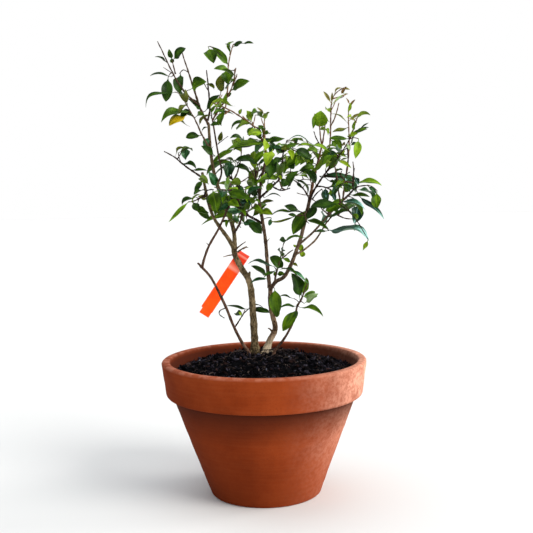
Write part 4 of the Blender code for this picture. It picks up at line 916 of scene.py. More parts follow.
def leaf_frame(leaf):
    """A leaf's length, its direction, and the directions across it and up from it."""
    root, tip, _, _, facing = leaf
    direction = (tip - root).normalized()
    side = direction.cross(facing).normalized()
    return (tip - root).length, direction, side, side.cross(direction)


def midrib(leaf, t):
    """The middle of an arched leaf at t of its length."""
    root, tip, _, arch, _ = leaf
    length, _, _, normal = leaf_frame(leaf)
    return root.lerp(tip, t) + normal * (arch * length * 4 * t * (1 - t))


def blade(leaf):
    """The plain leaf that the rule's tests use."""
    width = leaf[2]
    length, _, side, normal = leaf_frame(leaf)
    shape = bmesh.new()
    rings = []
    sections = LONG_LEAF if length > SHORT_LENGTH else SHORT_LEAF
    for t, share, fold in ((0, STALK_WIDTH / width, STALK_FOLD), *sections):
        middle = midrib(leaf, t)
        half = side * (width * share / 2)
        edge = normal * (width * share * fold)
        keel = normal * (LEAF_THICKNESS / 2)
        section = (middle - half + edge, middle + half + edge, middle - keel)
        rings.append([shape.verts.new(point) for point in section])
    end = shape.verts.new(leaf[1])
    shape.faces.new(rings[0])
    for low, high in zip(rings, rings[1:]):
        for i in range(3):
            shape.faces.new((low[i], high[i], high[(i + 1) % 3], low[(i + 1) % 3]))
    for i in range(3):
        shape.faces.new((rings[-1][i], end, rings[-1][(i + 1) % 3]))
    return shape


def facing_of(root, direction, turn):
    """Which way a leaf shows its upper side: up and out of the crown, rolled by turn."""
    out = Vector((root.x, root.y - CLUMP_AWAY, 0)).normalized()
    side = direction.cross(LEAF_UP + out * LEAF_OUT).normalized()
    return side.cross(direction) * math.cos(turn) + side * math.sin(turn)


def rule_twigs(shoots, count, draw):
    """Side twigs, dealt out in turn to the shoots, each turned against the one before."""
    turn = draw.uniform(0, math.tau)
    twigs = []
    for i in range(count):
        points, _, _, bare, length = shoots[i % len(shoots)]
        if bare == 1:
            continue
        root, direction = along(points, draw.uniform(*TWIG_PLACE))
        turn += GOLDEN_TURN + draw.uniform(-TWIG_STRAY, TWIG_STRAY)
        way = leaning(direction, turn, math.radians(draw.uniform(*TWIG_LEAN)))
        size = draw.uniform(*TWIG_LENGTH)
        rise = Vector((0, 0, draw.uniform(*TWIG_RISE)))
        knots = [root, root + way * size * 0.5, root + (way + rise) * size]
        twigs.append((smooth(knots, 1), TWIG_FOOT, THINNEST, TWIG_BARE, length))
    return twigs


def rule_leaves(shoot, full, draw):
    """Pairs of leaves along a shoot, each pair turned against the one before."""
    points, _, _, bare, length = shoot
    count = int(size_of(points) * (1 - bare) / NODE_SPACING) + 1
    turn = draw.uniform(0, math.tau)
    leaves = []
    for i in range(count):
        root, direction = along(points, bare + (1 - bare) * (i + 0.5) / count)
        turn += math.radians(draw.uniform(*PAIR_TURN))
        for half in (0, math.pi):
            angle = turn + half + draw.uniform(-PAIR_STRAY, PAIR_STRAY)
            way = leaning(direction, angle, math.radians(draw.uniform(*LEAF_LEAN)))
            way.z -= draw.uniform(*LEAF_DROOP)
            way.normalize()
            long = length * draw.uniform(*LEAF_SIZE)
            width = long * draw.uniform(*LEAF_WIDTH)
            arch = draw.uniform(*LEAF_ARCH)
            facing = facing_of(root, way, draw.uniform(-LEAF_ROLL, LEAF_ROLL))
            if draw.random() < full:
                leaves.append((root, root + way * long, width, arch, facing))
    return leaves


def rule_spurs(shoots, count, draw):
    """Short spurs along the shoots, each ending in a tuft of small leaves."""
    spurs = []
    turn = draw.uniform(0, math.tau)
    for _ in range(count):
        points = shoots[draw.randrange(len(shoots))][0]
        root, direction = along(points, draw.uniform(*SPUR_PLACE))
        turn += GOLDEN_TURN
        way = leaning(direction, turn, math.radians(draw.uniform(*SPUR_LEAN))).normalized()
        size = draw.uniform(*SPUR_LENGTH)
        end = root + way * size + Vector((0, 0, size * SPUR_RISE))
        twig = ([root, root + way * size * 0.5, end], SPUR_FOOT, SPUR_TIP)
        leaves = []
        for i in range(draw.randint(*SPUR_LEAVES)):
            angle = turn + i * GOLDEN_TURN
            grow = leaning(way, angle, math.radians(draw.uniform(*SPUR_LEAF_LEAN)))
            grow.z = grow.z * SPUR_LEAF_LIFT - draw.uniform(*LEAF_DROOP) * SPUR_LEAF_DROOP
            grow.normalize()
            long = draw.uniform(*SPUR_LEAF_SIZE)
            width = long * draw.uniform(*SPUR_LEAF_WIDTH)
            facing = facing_of(end, grow, draw.uniform(-LEAF_ROLL, LEAF_ROLL))
            leaves.append((end, end + grow * long, width, draw.uniform(*SPUR_LEAF_ARCH), facing))
        spurs.append((twig, leaves))
    return spurs


def clear_of(shape, trees, space):
    """Whether a leaf stays in its mass's space and off everything that isn't its own."""
    low, high = space
    for vert in shape.verts:
        if any(not low[i] < vert.co[i] < high[i] for i in range(3)):
            return False
        if any(tree.find_nearest(vert.co, LEAF_CLEAR)[0] for tree in trees):
            return False
    own = BVHTree.FromBMesh(shape)
    return not any(own.overlap(tree) for tree in trees)


def crosses(shape, leaves):
    """Whether a leaf runs through the blade of another one, apart from where both spring from."""
    own = BVHTree.FromBMesh(shape)
    return any(max(pair) >= STALK_FACES for leaf in leaves for pair in own.overlap(leaf))


def shoot_shape(shoot):
    """The three-sided tube of a shoot."""
    points, foot, tip = shoot[:3]
    radii = [(foot + (tip - foot) * mark) / 2 for mark in fractions(points)]
    return tube(points, radii, TWIG_SIDES)


def read_shoots(name):
    """A mass's shoots as points and thicknesses."""
    return [(smooth([spot(*knot) for knot in knots], TWIG_STEPS), foot * MM, tip * MM, bare, leaf * MM)
            for foot, tip, bare, leaf, knots in MASSES[name][3]]


def outline_leaves(name, shoots):
    """The leaves that make a mass's outline."""
    leaves = []
    for index, place, tip, width, arch in MASSES[name][4]:
        root, _ = along(shoots[index][0], place)
        facing = FACE_ON if arch < EDGE_ON_ARCH else EDGE_ON
        leaves.append((root, spot(*tip), width * MM, arch, facing))
    return leaves


def tree_of(shape):
    """A search tree of a shape, which is then freed."""
    tree = BVHTree.FromBMesh(shape)
    shape.free()
    return tree


class Heap:
    """Points and faces gathered for one joined mesh, with two pairs of numbers for each point."""

    def __init__(self):
        """Starts empty."""
        self.points, self.faces = [], []
        self.places, self.tints = [], []

    def add(self, points, faces, places=None, tint=(0.5, 0.5)):
        """Adds points and faces, with a pair of numbers for each point and one for all."""
        first = len(self.points)
        self.points += points
        self.faces += [[first + i for i in face] for face in faces]
        self.places += places or [(0.5, 0.5)] * len(points)
        self.tints += [tint] * len(points)

    def take(self, shape):
        """Adds a shape, which is then freed."""
        shape.verts.index_update()
        self.add([vert.co.copy() for vert in shape.verts], [[v.index for v in f.verts] for f in shape.faces])
        shape.free()

    def tree(self):
        """A search tree of all that was gathered."""
        return BVHTree.FromPolygons(self.points, self.faces)

    def build(self, name, material):
        """Makes the piece."""
        mesh = bpy.data.meshes.new(name)
        mesh.from_pydata(self.points, [], self.faces)
        for layer, values in (("place", self.places), ("tint", self.tints)):
            marks = mesh.uv_layers.new(name=layer)
            flat = [number for loop in mesh.loops for number in values[loop.vertex_index]]
            marks.data.foreach_set("uv", flat)
        mesh.shade_smooth()
        mesh.materials.append(material)
        return new_piece(name, mesh)


def new_piece(name, mesh):
    """A piece that rides on the part's one body."""
    piece = bpy.data.objects.new(name, mesh)
    bpy.context.scene.collection.objects.link(piece)
    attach(piece, "root")
    return piece


def grow_mass(name, trees, tips):
    """A mass's shoots and leaves by the part's rule, then its short spurs with their small leaves."""
    _, (seed, twig_count, full), space, _, _ = MASSES[name]
    kinds, spur_count = LOOKS[name]
    draw = random.Random(seed)
    extra = random.Random(seed + EXTRA_SEED)
    shoots = read_shoots(name)
    ends = [spot(*point) for point in space]
    low, high = ([pick(ends[0][i], ends[1][i]) for i in range(3)] for pick in (min, max))
    kept, own, plain = [], [], Heap()

    def keep(leaf, room, kind, share):
        """Keeps a leaf that finds a free place, and says whether it did."""
        shape = blade(leaf)
        bounds = ([value - room for value in low], [value + room for value in high])
        good = not hides_sky(leaf, share) and clear_of(shape, trees, bounds) and not crosses(shape, own)
        shape.free()
        if good:
            kept.append((leaf, kind))
            own.append(tree_of(blade(leaf)))
            plain.take(blade(leaf))
        return good

    for leaf in outline_leaves(name, shoots):
        across, up, _ = shown(leaf[1])
        kind = extra.choice(kinds)
        if all(math.hypot(across - x, up - y) > SAME_TIP for x, y in tips):
            keep(leaf, OUTLINE_ROOM, kind, 0)
    for twig in rule_twigs(shoots, twig_count, draw):
        shape = shoot_shape(twig)
        if clear_of(shape, trees, (low, high)) and not any(in_sky(point, SKY_TWIG) for point in twig[0]):
            shoots.append(twig)
        shape.free()
    for shoot in shoots:
        kind = extra.choice(kinds)
        for leaf in rule_leaves(shoot, full, draw):
            keep(leaf, 0, kind if extra.random() < SPRAY_SHARE else extra.choice(kinds), SKY_MARGIN)
    spurs = []
    for twig, leaves in rule_spurs(shoots, spur_count, extra):
        kind = extra.choice(kinds)
        grown = [leaf for leaf in leaves if keep(leaf, 0, kind, SKY_MARGIN)]
        if (grown or extra.random() < BARE_SPURS) and not in_sky(twig[0][-1]):
            spurs.append(twig)
    for shoot in shoots:
        plain.take(shoot_shape(shoot))
    return shoots, spurs, kept, plain.tree()


def camera_stand():
    """Where the camera stands and how it looks."""
    look = Matrix.Rotation(-CAMERA_TURN, 4, "Z") @ Matrix.Rotation(math.pi / 2 - CAMERA_DOWN, 4, "X")
    return Matrix.Translation(CAMERA_PLACE) @ look @ Matrix.Rotation(-CAMERA_ROLL, 4, "Z")


STAND = camera_stand()
STAND_BACK = STAND.inverted()


def placed(across, up, away):
    """The place of a point read in the photograph, as the scene's camera sees it."""
    right = (READ_FROM[0] + across / READ_SCALE - IMAGE_MIDDLE) / FOCAL
    high = (IMAGE_MIDDLE - READ_FROM[1] + up / READ_SCALE) / FOCAL
    ray = STAND.to_3x3() @ Vector((right, high, -1))
    camera = STAND.translation
    return camera + ray * ((CLUMP_AWAY + away * DEPTH * MM - camera.y) / ray.y)


def shown(point):
    """Where a point is seen in the photograph, and how far away: the other way round from placed."""
    near = STAND_BACK @ point
    across = (IMAGE_MIDDLE - FOCAL * near.x / near.z - READ_FROM[0]) * READ_SCALE
    up = (READ_FROM[1] - IMAGE_MIDDLE - FOCAL * near.y / near.z) * READ_SCALE
    return across, up, (point.y - CLUMP_AWAY) / DEPTH / MM


def in_sky(point, margin=0.0):
    """Whether a point stands where the photograph shows sky."""
    across, up, _ = shown(point)
    return any(math.hypot(across - x, up - y) < radius + margin for x, y, radius in SKY)


def hides_sky(leaf, share):
    """Whether a leaf, or a share of its width, would cover sky that the photograph shows."""
    margin = share * leaf[2] / MM
    return any(in_sky(midrib(leaf, t), margin) for t in SKY_TESTS)


def bearer(carriers, across, up):
    """The nearest point of a limb or twig, as the photograph sees it."""
    return min(carriers, key=lambda c: math.hypot(c[0][0] - across, c[0][1] - up) + FRONT_FIRST * c[0][2])


def carry(points):
    """Points along a line that can bear a leaf."""
    return [(shown(point), point) for point, _ in resample(points, BEARER_STEP)[0]]


def make_sprays(lines, trees, box):
    """The fine twigs and leaves that the photograph shows, each borne by the nearest limb or twig."""
    draw = random.Random(SPRAY_SEED)
    carriers = [mark for line in lines for mark in carry(line)]
    twigs, leaves, own = [], [], []
    for foot, tip, knots in FINE_TWIGS:
        away = bearer(carriers, *knots[0])[0][2]
        points = [placed(*knot, away - i * draw.uniform(*TWIG_AHEAD)) for i, knot in enumerate(knots)]
        twigs.append((smooth(points, SPRAY_STEPS), foot * MM, tip * MM))
        carriers += carry(twigs[-1][0])
    plain = Heap()
    rows = [(kind, *row) for kind, rows in SPRAYS.items() for row in rows]
    for kind, root_across, root_up, tip_across, tip_up, width, arch in rows:
        (_, _, away), foot = bearer(carriers, root_across, root_up)
        root = placed(root_across, root_up, away)
        if (root - foot).length < STALK_REACH * MM:
            root = foot
        length = math.hypot(tip_across - root_across, tip_up - root_up)
        for _ in range(SPRAY_TRIES):
            depth = away + draw.uniform(*SPRAY_REACH) * length / DEPTH
            facing = SPRAY_SIDE if abs(arch) >= SPRAY_ARCH else FACE_ON
            facing = Matrix.Rotation(draw.uniform(-SPRAY_TURN, SPRAY_TURN), 3, "Z") @ facing
            leaf = (root, placed(tip_across, tip_up, depth), width * MM, arch, facing)
            shape = blade(leaf)
            fits = clear_of(shape, trees, box) and not crosses(shape, own)
            shape.free()
            if fits:
                break
        own.append(tree_of(blade(leaf)))
        plain.take(blade(leaf))
        leaves.append((leaf, kind))
        if root != foot:
            middle = root.lerp(foot, 0.5) + Vector((0, 0, STALK_RISE * (root - foot).length))
            twigs.append(([foot, middle, root], *STALK_ENDS))
    return twigs, leaves, plain.tree()


def fine_leaf(heap, leaf, draw):
    """A leaf of two sheets: narrow stalk, folded and slightly wavy blade, pointed tip."""
    root, tip, width, arch, _ = leaf
    length, direction, side, normal = leaf_frame(leaf)
    stalk = min(STALK_MOST, STALK_LENGTH / length)
    belly = draw.uniform(*LEAF_BELLY)
    point = draw.uniform(*LEAF_POINT)
    fullest = belly / (belly + point)
    peak = fullest ** belly * (1 - fullest) ** point
    fold = draw.uniform(*LEAF_FOLD)
    wave = draw.uniform(*LEAF_WAVE)
    phase = draw.uniform(0, math.tau)
    twist = draw.uniform(-LEAF_TWIST, LEAF_TWIST)
    sag = draw.uniform(*LEAF_SAG)
    hook = 1.0 if abs(arch) >= SPRAY_ARCH else 0.0
    upper, lower, places = [], [], []
    for row in range(LEAF_ROWS + 1):
        t = row / LEAF_ROWS
        bow = arch * 4 * t * (1 - t) * (1 + hook * (t - 0.5)) - sag * math.sin(math.tau * t)
        slope = arch * (4 * (1 - 2 * t) * (1 + hook * (t - 0.5)) + 4 * t * (1 - t) * hook)
        slope -= sag * math.tau * math.cos(math.tau * t)
        middle = root.lerp(tip, t) + normal * (bow * length)
        tangent = (direction + normal * slope).normalized()
        turned = Matrix.Rotation(twist * (t - TWIST_FROM), 3, tangent) @ side
        raised = turned.cross(tangent)
        s = max(t - stalk, 0) / (1 - stalk)
        half = width / 2 * LEAF_FULL * s ** belly * (1 - s) ** point / peak
        half = max(half, STALK_HALF * min(1, 3 * (1 - t)))
        for column in range(LEAF_COLUMNS + 1):
            c = 2 * column / LEAF_COLUMNS - 1
            ripple = wave * c * c * math.sin(phase + WAVE_TURNS * t + (WAVE_SHIFT if c > 0 else 0))
            lift = half * (fold * abs(c) ** FOLD_ROUND + ripple * 2) * step_between(0, FOLD_WHOLE, s)
            place = middle + turned * (c * half * (1 - FOLD_NARROWS * fold)) + raised * lift
            upper.append(place + raised * SHEET_HALF)
            lower.append(place - raised * SHEET_HALF)
            places.append((0.5 + c / 2, s))
    faces = []
    wide = LEAF_COLUMNS + 1
    for row in range(LEAF_ROWS):
        for column in range(LEAF_COLUMNS):
            a = row * wide + column
            faces.append((a, a + 1, a + 1 + wide, a + wide))
    tint = (draw.random(), draw.random())
    heap.add(upper, faces, places, tint)
    heap.add(lower, [face[::-1] for face in faces], [(x, y + 2) for x, y in places], tint)


def fine_tube(heap, points, radii, sides, relief=None, tint=(0.5, 0.5)):
    """A round tube with closed ends."""
    skin = skin_round(points, radii, sides, relief)
    faces = ring_faces(len(points) - 1, sides)
    first, last, end = len(skin), len(skin) + 1, len(skin) - sides
    for side in range(sides):
        after = (side + 1) % sides
        faces += [(after, side, first), (end + side, end + after, last)]
    skin += [points[0], points[-1] + (points[-1] - points[-2]).normalized() * radii[-1] * 0.5]
    heap.add(skin, faces, tint=tint)


def bark_relief(point):
    """Streaks, cracks and lumps of bark, as a share of the radius."""
    share = 1.0
    for around, upward, depth in (BARK_STREAKS, BARK_CRACKS):
        share += depth * noise.noise(Vector((point.x * around, point.y * around, point.z * upward)))
    return share + BARK_LUMPS[1] * noise.noise(point * BARK_LUMPS[0])


def fine_limb(heap, name, draw):
    """A limb with the relief of its bark and the slight swellings of its old leaf nodes."""
    line, thick = limb_line(name, BARK_STEPS)
    rows, size = resample(line, BARK_RING)
    marks = fractions(line)
    nodes = []
    far = draw.uniform(*NODE_FIRST)
    while far < size:
        nodes.append(far / size)
        far += draw.uniform(*NODE_NEXT)
    radii = []
    for _, t in rows:
        i, share = stretch(marks, t)
        radius = thick[i] + (thick[i + 1] - thick[i]) * share
        for node in nodes:
            radius *= 1 + NODE_SWELLS[0] * math.exp(-((t - node) * size / NODE_SWELLS[1]) ** 2)
        if LIMBS[name][0]:
            radius *= 1 + FORK_SWELLS[0] * math.exp(-t * size / FORK_SWELLS[1])
        radii.append(radius)
    points = [point for point, _ in rows]
    fine_tube(heap, points, radii, BARK_SIDES, bark_relief, (draw.random(), draw.random()))


def fine_stub(heap, foot, tip, thick, thin):
    """A dead stub, thorn or toe of root, slightly bent."""
    share, rise = STUB_BEND
    ends = [spot(*foot), spot(*foot).lerp(spot(*tip), share) + Vector((0, 0, rise)), spot(*tip)]
    rows, _ = resample(smooth(ends, STUB_STEPS), STUB_RING)
    radii = [(thick + (thin - thick) * t) * MM / 2 for _, t in rows]
    fine_tube(heap, [point for point, _ in rows], radii, STUB_SIDES, bark_relief)


def fine_twig(heap, points, foot, tip, draw, sides=SPUR_SIDES):
    """A shoot or side twig, a little crooked, with a swelling at each node."""
    rows, size = resample(smooth(points, SWAY_STEPS), TWIG_RING)
    bend = draw.uniform(0, 100)
    line, radii = [], []
    for point, t in rows:
        stray = Vector([noise.noise((bend, t * size * SWAY_WAVES, shift)) for shift in SWAY_SHIFTS])
        line.append(point + stray * (min(t, SWAY_FULL) * SWAY * MM))
        radius = (foot + (tip - foot) * t) / 2
        node = math.cos(math.pi * ((t * size / TWIG_NODES) % 1 - 0.5)) ** 12
        radii.append(radius * (1 + TWIG_SWELLS * (1 - node) ** 6))
    fine_tube(heap, line, radii, sides, tint=(draw.random(), draw.random()))


def make_plant(box):
    """Twigs and leaves as joined pieces, one for each kind."""
    limbs = [limb_line(name, LIMB_STEPS) for name in LIMBS]
    limb_trees = [tree_of(tube(*limb, LIMB_SIDES)) for limb in limbs]
    shoot_trees = {name: [tree_of(shoot_shape(shoot)) for shoot in read_shoots(name)] for name in MASSES}
    leaves = {kind: Heap() for kind in LEAF_KINDS}
    twigs = {kind: Heap() for kind in TWIG_SHADES}
    lines = [points for points, _ in limbs]
    lines += [shoot[0] for name in MASSES for shoot in read_shoots(name)]
    fine_twigs, measured, spray_tree = make_sprays(lines, limb_trees, box)
    tips = [shown(leaf[1])[:2] for leaf, _ in measured]
    done = [spray_tree]
    fine = random.Random(MEASURED_SEED)
    for twig in fine_twigs:
        fine_twig(twigs["twigs_brown"], *twig, fine)
    for leaf, kind in measured:
        fine_leaf(leaves[kind], leaf, fine)
    for name in MASSES:
        others = [tree for other in MASSES if other != name for tree in shoot_trees[other]]
        shoots, spurs, kept, tree = grow_mass(name, limb_trees + others + done, tips)
        done.append(tree)
        fine = random.Random(MASSES[name][1][0] + FINE_SEED)
        heap = twigs["twigs_young" if name in YOUNG else "twigs_brown"]
        for points, foot, tip, _, _ in shoots:
            fine_twig(heap, points, foot, tip * SHOOT_THINS, fine, SHOOT_SIDES)
        for spur in spurs:
            fine_twig(heap, *spur, fine)
        for leaf, kind in kept:
            fine_leaf(leaves[kind], leaf, fine)
    for name, heap in twigs.items():
        piece = heap.build(name, twig_material(name))
        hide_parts(*MASSES)
    for kind, heap in leaves.items():
        if heap.points:
            piece = heap.build("foliage_" + kind, leaf_material(kind))
            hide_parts(*MASSES)


def make_limbs():
    """Limbs and stubs as joined pieces, one for each kind of bark."""
    barks = {kind: Heap() for kind in BARK_KINDS}
    rough = random.Random(BARK_SEED)
    for name, kind in BARK_OF.items():
        fine_limb(barks[kind], name, rough)
    for kind, *stub in STUBS:
        fine_stub(barks[kind], *stub)
    for kind, heap in barks.items():
        piece = heap.build(kind, bark_material(kind))
        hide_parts(*[name for name in LIMBS if BARK_OF[name] == kind])


def inner_radius(level):
    """The pot's inside radius at a level."""
    rim_foot = POT_HEIGHT - RIM_DEPTH
    if level < rim_foot:
        slope = (BODY_TOP_RADIUS - BASE_RADIUS) / rim_foot
        return BASE_RADIUS - WALL + slope * level
    lip_foot = POT_HEIGHT - CORNER
    start, end = BODY_TOP_RADIUS - WALL, RIM_RADIUS - LIP
    return start + (end - start) * (level - rim_foot) / (lip_foot - rim_foot)


def corner(centre_radius, centre_height, start, end, radius=CORNER, steps=7):
    """Points of a rounded corner of the pot's outline, from one angle to another."""
    turns = [math.radians(start + (end - start) * i / steps) for i in range(steps + 1)]
    return [(centre_radius + radius * math.cos(turn), centre_height + radius * math.sin(turn))
            for turn in turns]


def pot_outline():
    """The pot's section, bottom to top outside and back down inside, with no long stretches."""
    rim_foot = POT_HEIGHT - RIM_DEPTH
    top = POT_HEIGHT - CORNER
    corners = [(0, 0)]
    corners += corner(BASE_RADIUS - CORNER, CORNER, -90, -20)
    corners += corner(BODY_TOP_RADIUS + RIM_FILLET, rim_foot - RIM_FILLET, 180, 90, RIM_FILLET, 4)
    corners += corner(RIM_FOOT_RADIUS - CORNER, rim_foot + CORNER, -90, 0)
    corners += corner(RIM_RADIUS - CORNER, top, 0, 90)
    corners += corner(RIM_RADIUS - LIP + CORNER, top, 90, 180)
    corners += [(inner_radius(rim_foot), rim_foot), (inner_radius(FLOOR), FLOOR), (0, FLOOR)]
    outline = [corners[0]]
    for (r0, z0), (r1, z1) in zip(corners, corners[1:]):
        count = max(1, round(math.hypot(r1 - r0, z1 - z0) / POT_STEP))
        outline += [(r0 + (r1 - r0) * i / count, z0 + (z1 - z0) * i / count) for i in range(1, count + 1)]
    return outline


def pot_relief(radius, level, turn):
    """The thrown pot's slight unevenness: turning marks, a wander of the wall and small dents."""
    place = Vector((math.cos(turn) * radius, math.sin(turn) * radius, level))
    wander = POT_WANDER[1] * noise.noise(place * POT_WANDER[0])
    dents = sum(height * noise.noise(place * waves) for waves, height in POT_DENTS)
    stray = TURNING_STRAY[1] * noise.noise(place * TURNING_STRAY[0])
    rings = TURNING_MARKS[1] * math.sin(level * TURNING_MARKS[0] + stray)
    return (wander + dents + rings) * MM


def turned_mesh(name, outline, sides, relief=None, reshape=None):
    """A closed mesh turned from (radius, height) points."""
    shape = bmesh.new()
    skin = []
    for radius, level in outline:
        if radius == 0:
            skin += [shape.verts.new((0, 0, level))] * sides
            continue
        for side in range(sides):
            turn = math.tau * side / sides
            reach = radius + (relief(radius, level, turn) if relief else 0)
            skin.append(shape.verts.new((reach * math.cos(turn), reach * math.sin(turn), level)))
    for face in ring_faces(len(outline) - 1, sides):
        shape.faces.new(list(dict.fromkeys(skin[i] for i in face)))
    if reshape:
        reshape(shape)
    bmesh.ops.recalc_face_normals(shape, faces=shape.faces)
    mesh = bpy.data.meshes.new(name)
    shape.to_mesh(mesh)
    shape.free()
    return new_piece(name, mesh)


def make_pot():
    """The terracotta pot with its drain holes."""
    pot = turned_mesh("clay_pot", pot_outline(), POT_TURNS, pot_relief)
    for i in range(3):
        turn = math.tau * i / 3
        bpy.ops.mesh.primitive_cylinder_add(
            vertices=DRAIN_SIDES, radius=DRAIN_RADIUS, depth=4 * FLOOR,
            location=(DRAIN_RING * math.cos(turn), DRAIN_RING * math.sin(turn), 0))
        hole = bpy.context.object
        cut = pot.modifiers.new("drain", "BOOLEAN")
        cut.operation = "DIFFERENCE"
        cut.object = hole
        bpy.context.view_layer.update()
        graph = bpy.context.evaluated_depsgraph_get()
        pot.data = bpy.data.meshes.new_from_object(pot.evaluated_get(graph))
        pot.modifiers.clear()
        bpy.data.objects.remove(hole, do_unlink=True)
    pot.data.shade_smooth()
    pot.data.set_sharp_from_angle(angle=math.radians(POT_SHARP))
    pot.data.materials.clear()
    pot.data.materials.append(clay_material())
    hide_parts("pot")


def soil_level(x, y, share):
    """Height of the compost's surface at a point of a ring, level round the stems."""
    slope = max(share - CLUMP_FLAT, 0) / (1 - CLUMP_FLAT)
    bumps = noise.noise(Vector((x, y, 0)) * 60) + 0.5 * noise.noise(Vector((x, y, 0.1)) * 140)
    sink = SOIL_SINK * step_between(*SOIL_SINK_AT, share)
    level = GROUND - (SOIL_EDGE - (POT_HEIGHT - GROUND)) * slope - sink
    return level + SOIL_BUMP * bumps * min(slope * 5, 1)


def clods(x, y):
    """The small lumps of the compost's surface."""
    place = Vector((x, y, 0))
    lumps = 0.0
    for waves, height in SOIL_CLODS:
        lumps += height * (0.5 - abs(noise.noise(place * waves + Vector((waves, 0, 0)))) * CLOD_RIDGE)
    return lumps * MM


def make_soil():
    """The compost: a lumpy surface, loose crumbs, pale grains and a few fibres."""
    top = POT_HEIGHT - SOIL_EDGE - SOIL_SINK
    rim_foot = POT_HEIGHT - RIM_DEPTH
    room = GAP * SOIL_ROOM
    edge = inner_radius(top) - room
    outline = [(0, FLOOR + GAP)]
    outline += [(inner_radius(level) - room, level) for level in (FLOOR + GAP, rim_foot, top)]
    outline += [(edge * (1 - i / SOIL_RINGS), top) for i in range(1, SOIL_RINGS)] + [(0, top)]

    def lay(shape):
        """Gives the surface its lumps, heaped round the stems."""
        for vert in shape.verts:
            if vert.co.z > rim_foot + GAP:
                share = math.hypot(vert.co.x, vert.co.y) / edge
                vert.co.y += CLUMP_AWAY * (1 - share)
                if share < SOIL_RIM:
                    vert.co.z = soil_level(vert.co.x, vert.co.y, share) + clods(vert.co.x, vert.co.y)

    soil = turned_mesh("compost_bed", outline, SOIL_TURNS, reshape=lay)
    soil.data.shade_smooth()
    soil.data.materials.append(compost_material("compost_bed", *COMPOST_COLOURS))
    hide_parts("soil")
    draw = random.Random(CRUMB_SEED)
    scatter_crumbs(edge, draw)
    scatter_fibres(edge, draw)


def surface_spot(edge, draw):
    """A point of the compost's surface, and its height."""
    share = math.sqrt(draw.random()) * CRUMB_REACH
    turn = draw.uniform(0, math.tau)
    x = edge * share * math.cos(turn)
    y = edge * share * math.sin(turn) + CLUMP_AWAY * (1 - share)
    return x, y, soil_level(x, y, share) + clods(x, y)


def scatter_crumbs(edge, draw):
    """Crumbs, bark chips and pale grains that lie on the compost."""
    lump = bmesh.new()
    bmesh.ops.create_icosphere(lump, subdivisions=2, radius=1)
    ball = Heap()
    ball.take(lump)
    for name, (count, small, large, flat, dark, pale) in CRUMBS.items():
        heap = Heap()
        for _ in range(count):
            x, y, z = surface_spot(edge, draw)
            size = small + (large - small) * draw.random() ** CRUMB_SMALLER
            turn = Matrix.Rotation(draw.uniform(0, math.tau), 3, Vector((draw.random(), draw.random(), 1)))
            long = draw.uniform(*CRUMB_STRETCH)
            seed = Vector((draw.uniform(0, 50), 0, 0))
            points = []
            for point in ball.points:
                rough = 1 + CRUMB_ROUGH[1] * noise.noise(point * CRUMB_ROUGH[0] + seed)
                shaped = Vector((point.x * long, point.y, point.z * flat)) * rough * size * MM / 2
                points.append(turn @ shaped + Vector((x, y, z + size * MM * CRUMB_LIFT)))
            heap.add(points, ball.faces, tint=(draw.random(), draw.random()))
        heap.build(name, compost_material(name, dark, pale))


def creeping(x, y, steps, size, bend, draw, height):
    """Points of a fibre or fine root that bends as it runs; height gives its level."""
    turn = draw.uniform(0, math.tau)
    size = draw.uniform(*size) * MM
    bend = draw.uniform(-bend, bend)
    points = []
    for i in range(steps + 1):
        t = i / steps
        angle = turn + bend * t
        far_x = x + math.cos(angle) * size * t
        far_y = y + math.sin(angle) * size * t
        points.append(Vector((far_x, far_y, height(far_x, far_y, t))))
    return points


def scatter_fibres(edge, draw):
    """Fibres on the compost, and fine roots round the stems' feet."""
    def fibre_level(_x, _y, t):
        """The level of a fibre that lies on the compost."""
        return z + (FIBRE_RISE[0] + FIBRE_RISE[1] * math.sin(math.pi * t)) * MM

    def root_level(x, y, t):
        """The level of a fine root that comes down from a stem."""
        foot, arch, least = ROOT_RISE
        lift = (foot * (1 - t) ** 2 + arch * math.sin(math.pi * t) + least) * MM
        return soil_level(x, y, math.hypot(x, y) / edge) + clods(x, y) * t + lift

    heap = Heap()
    for _ in range(FIBRES):
        x, y, z = surface_spot(edge * FIBRE_REACH, draw)
        points = creeping(x, y, FIBRE_STEPS, FIBRE_SIZE, FIBRE_BEND, draw, fibre_level)
        radii = [draw.uniform(*FIBRE_HALF) * MM] * len(points)
        fine_tube(heap, points, radii, FIBRE_SIDES, tint=(draw.random(), draw.random()))
    for across, count in ROOT_FEET:
        for _ in range(count):
            points = creeping(across * MM, CLUMP_AWAY, ROOT_STEPS, ROOT_SIZE, ROOT_BEND, draw, root_level)
            half = draw.uniform(*ROOT_HALF) * MM
            radii = [half * (1 - ROOT_THINS * i) for i in range(len(points))]
            fine_tube(heap, points, radii, ROOT_SIDES, tint=(draw.random(), 0.5))
    heap.build("compost_fibres", compost_material("compost_fibres", *FIBRE_COLOURS))


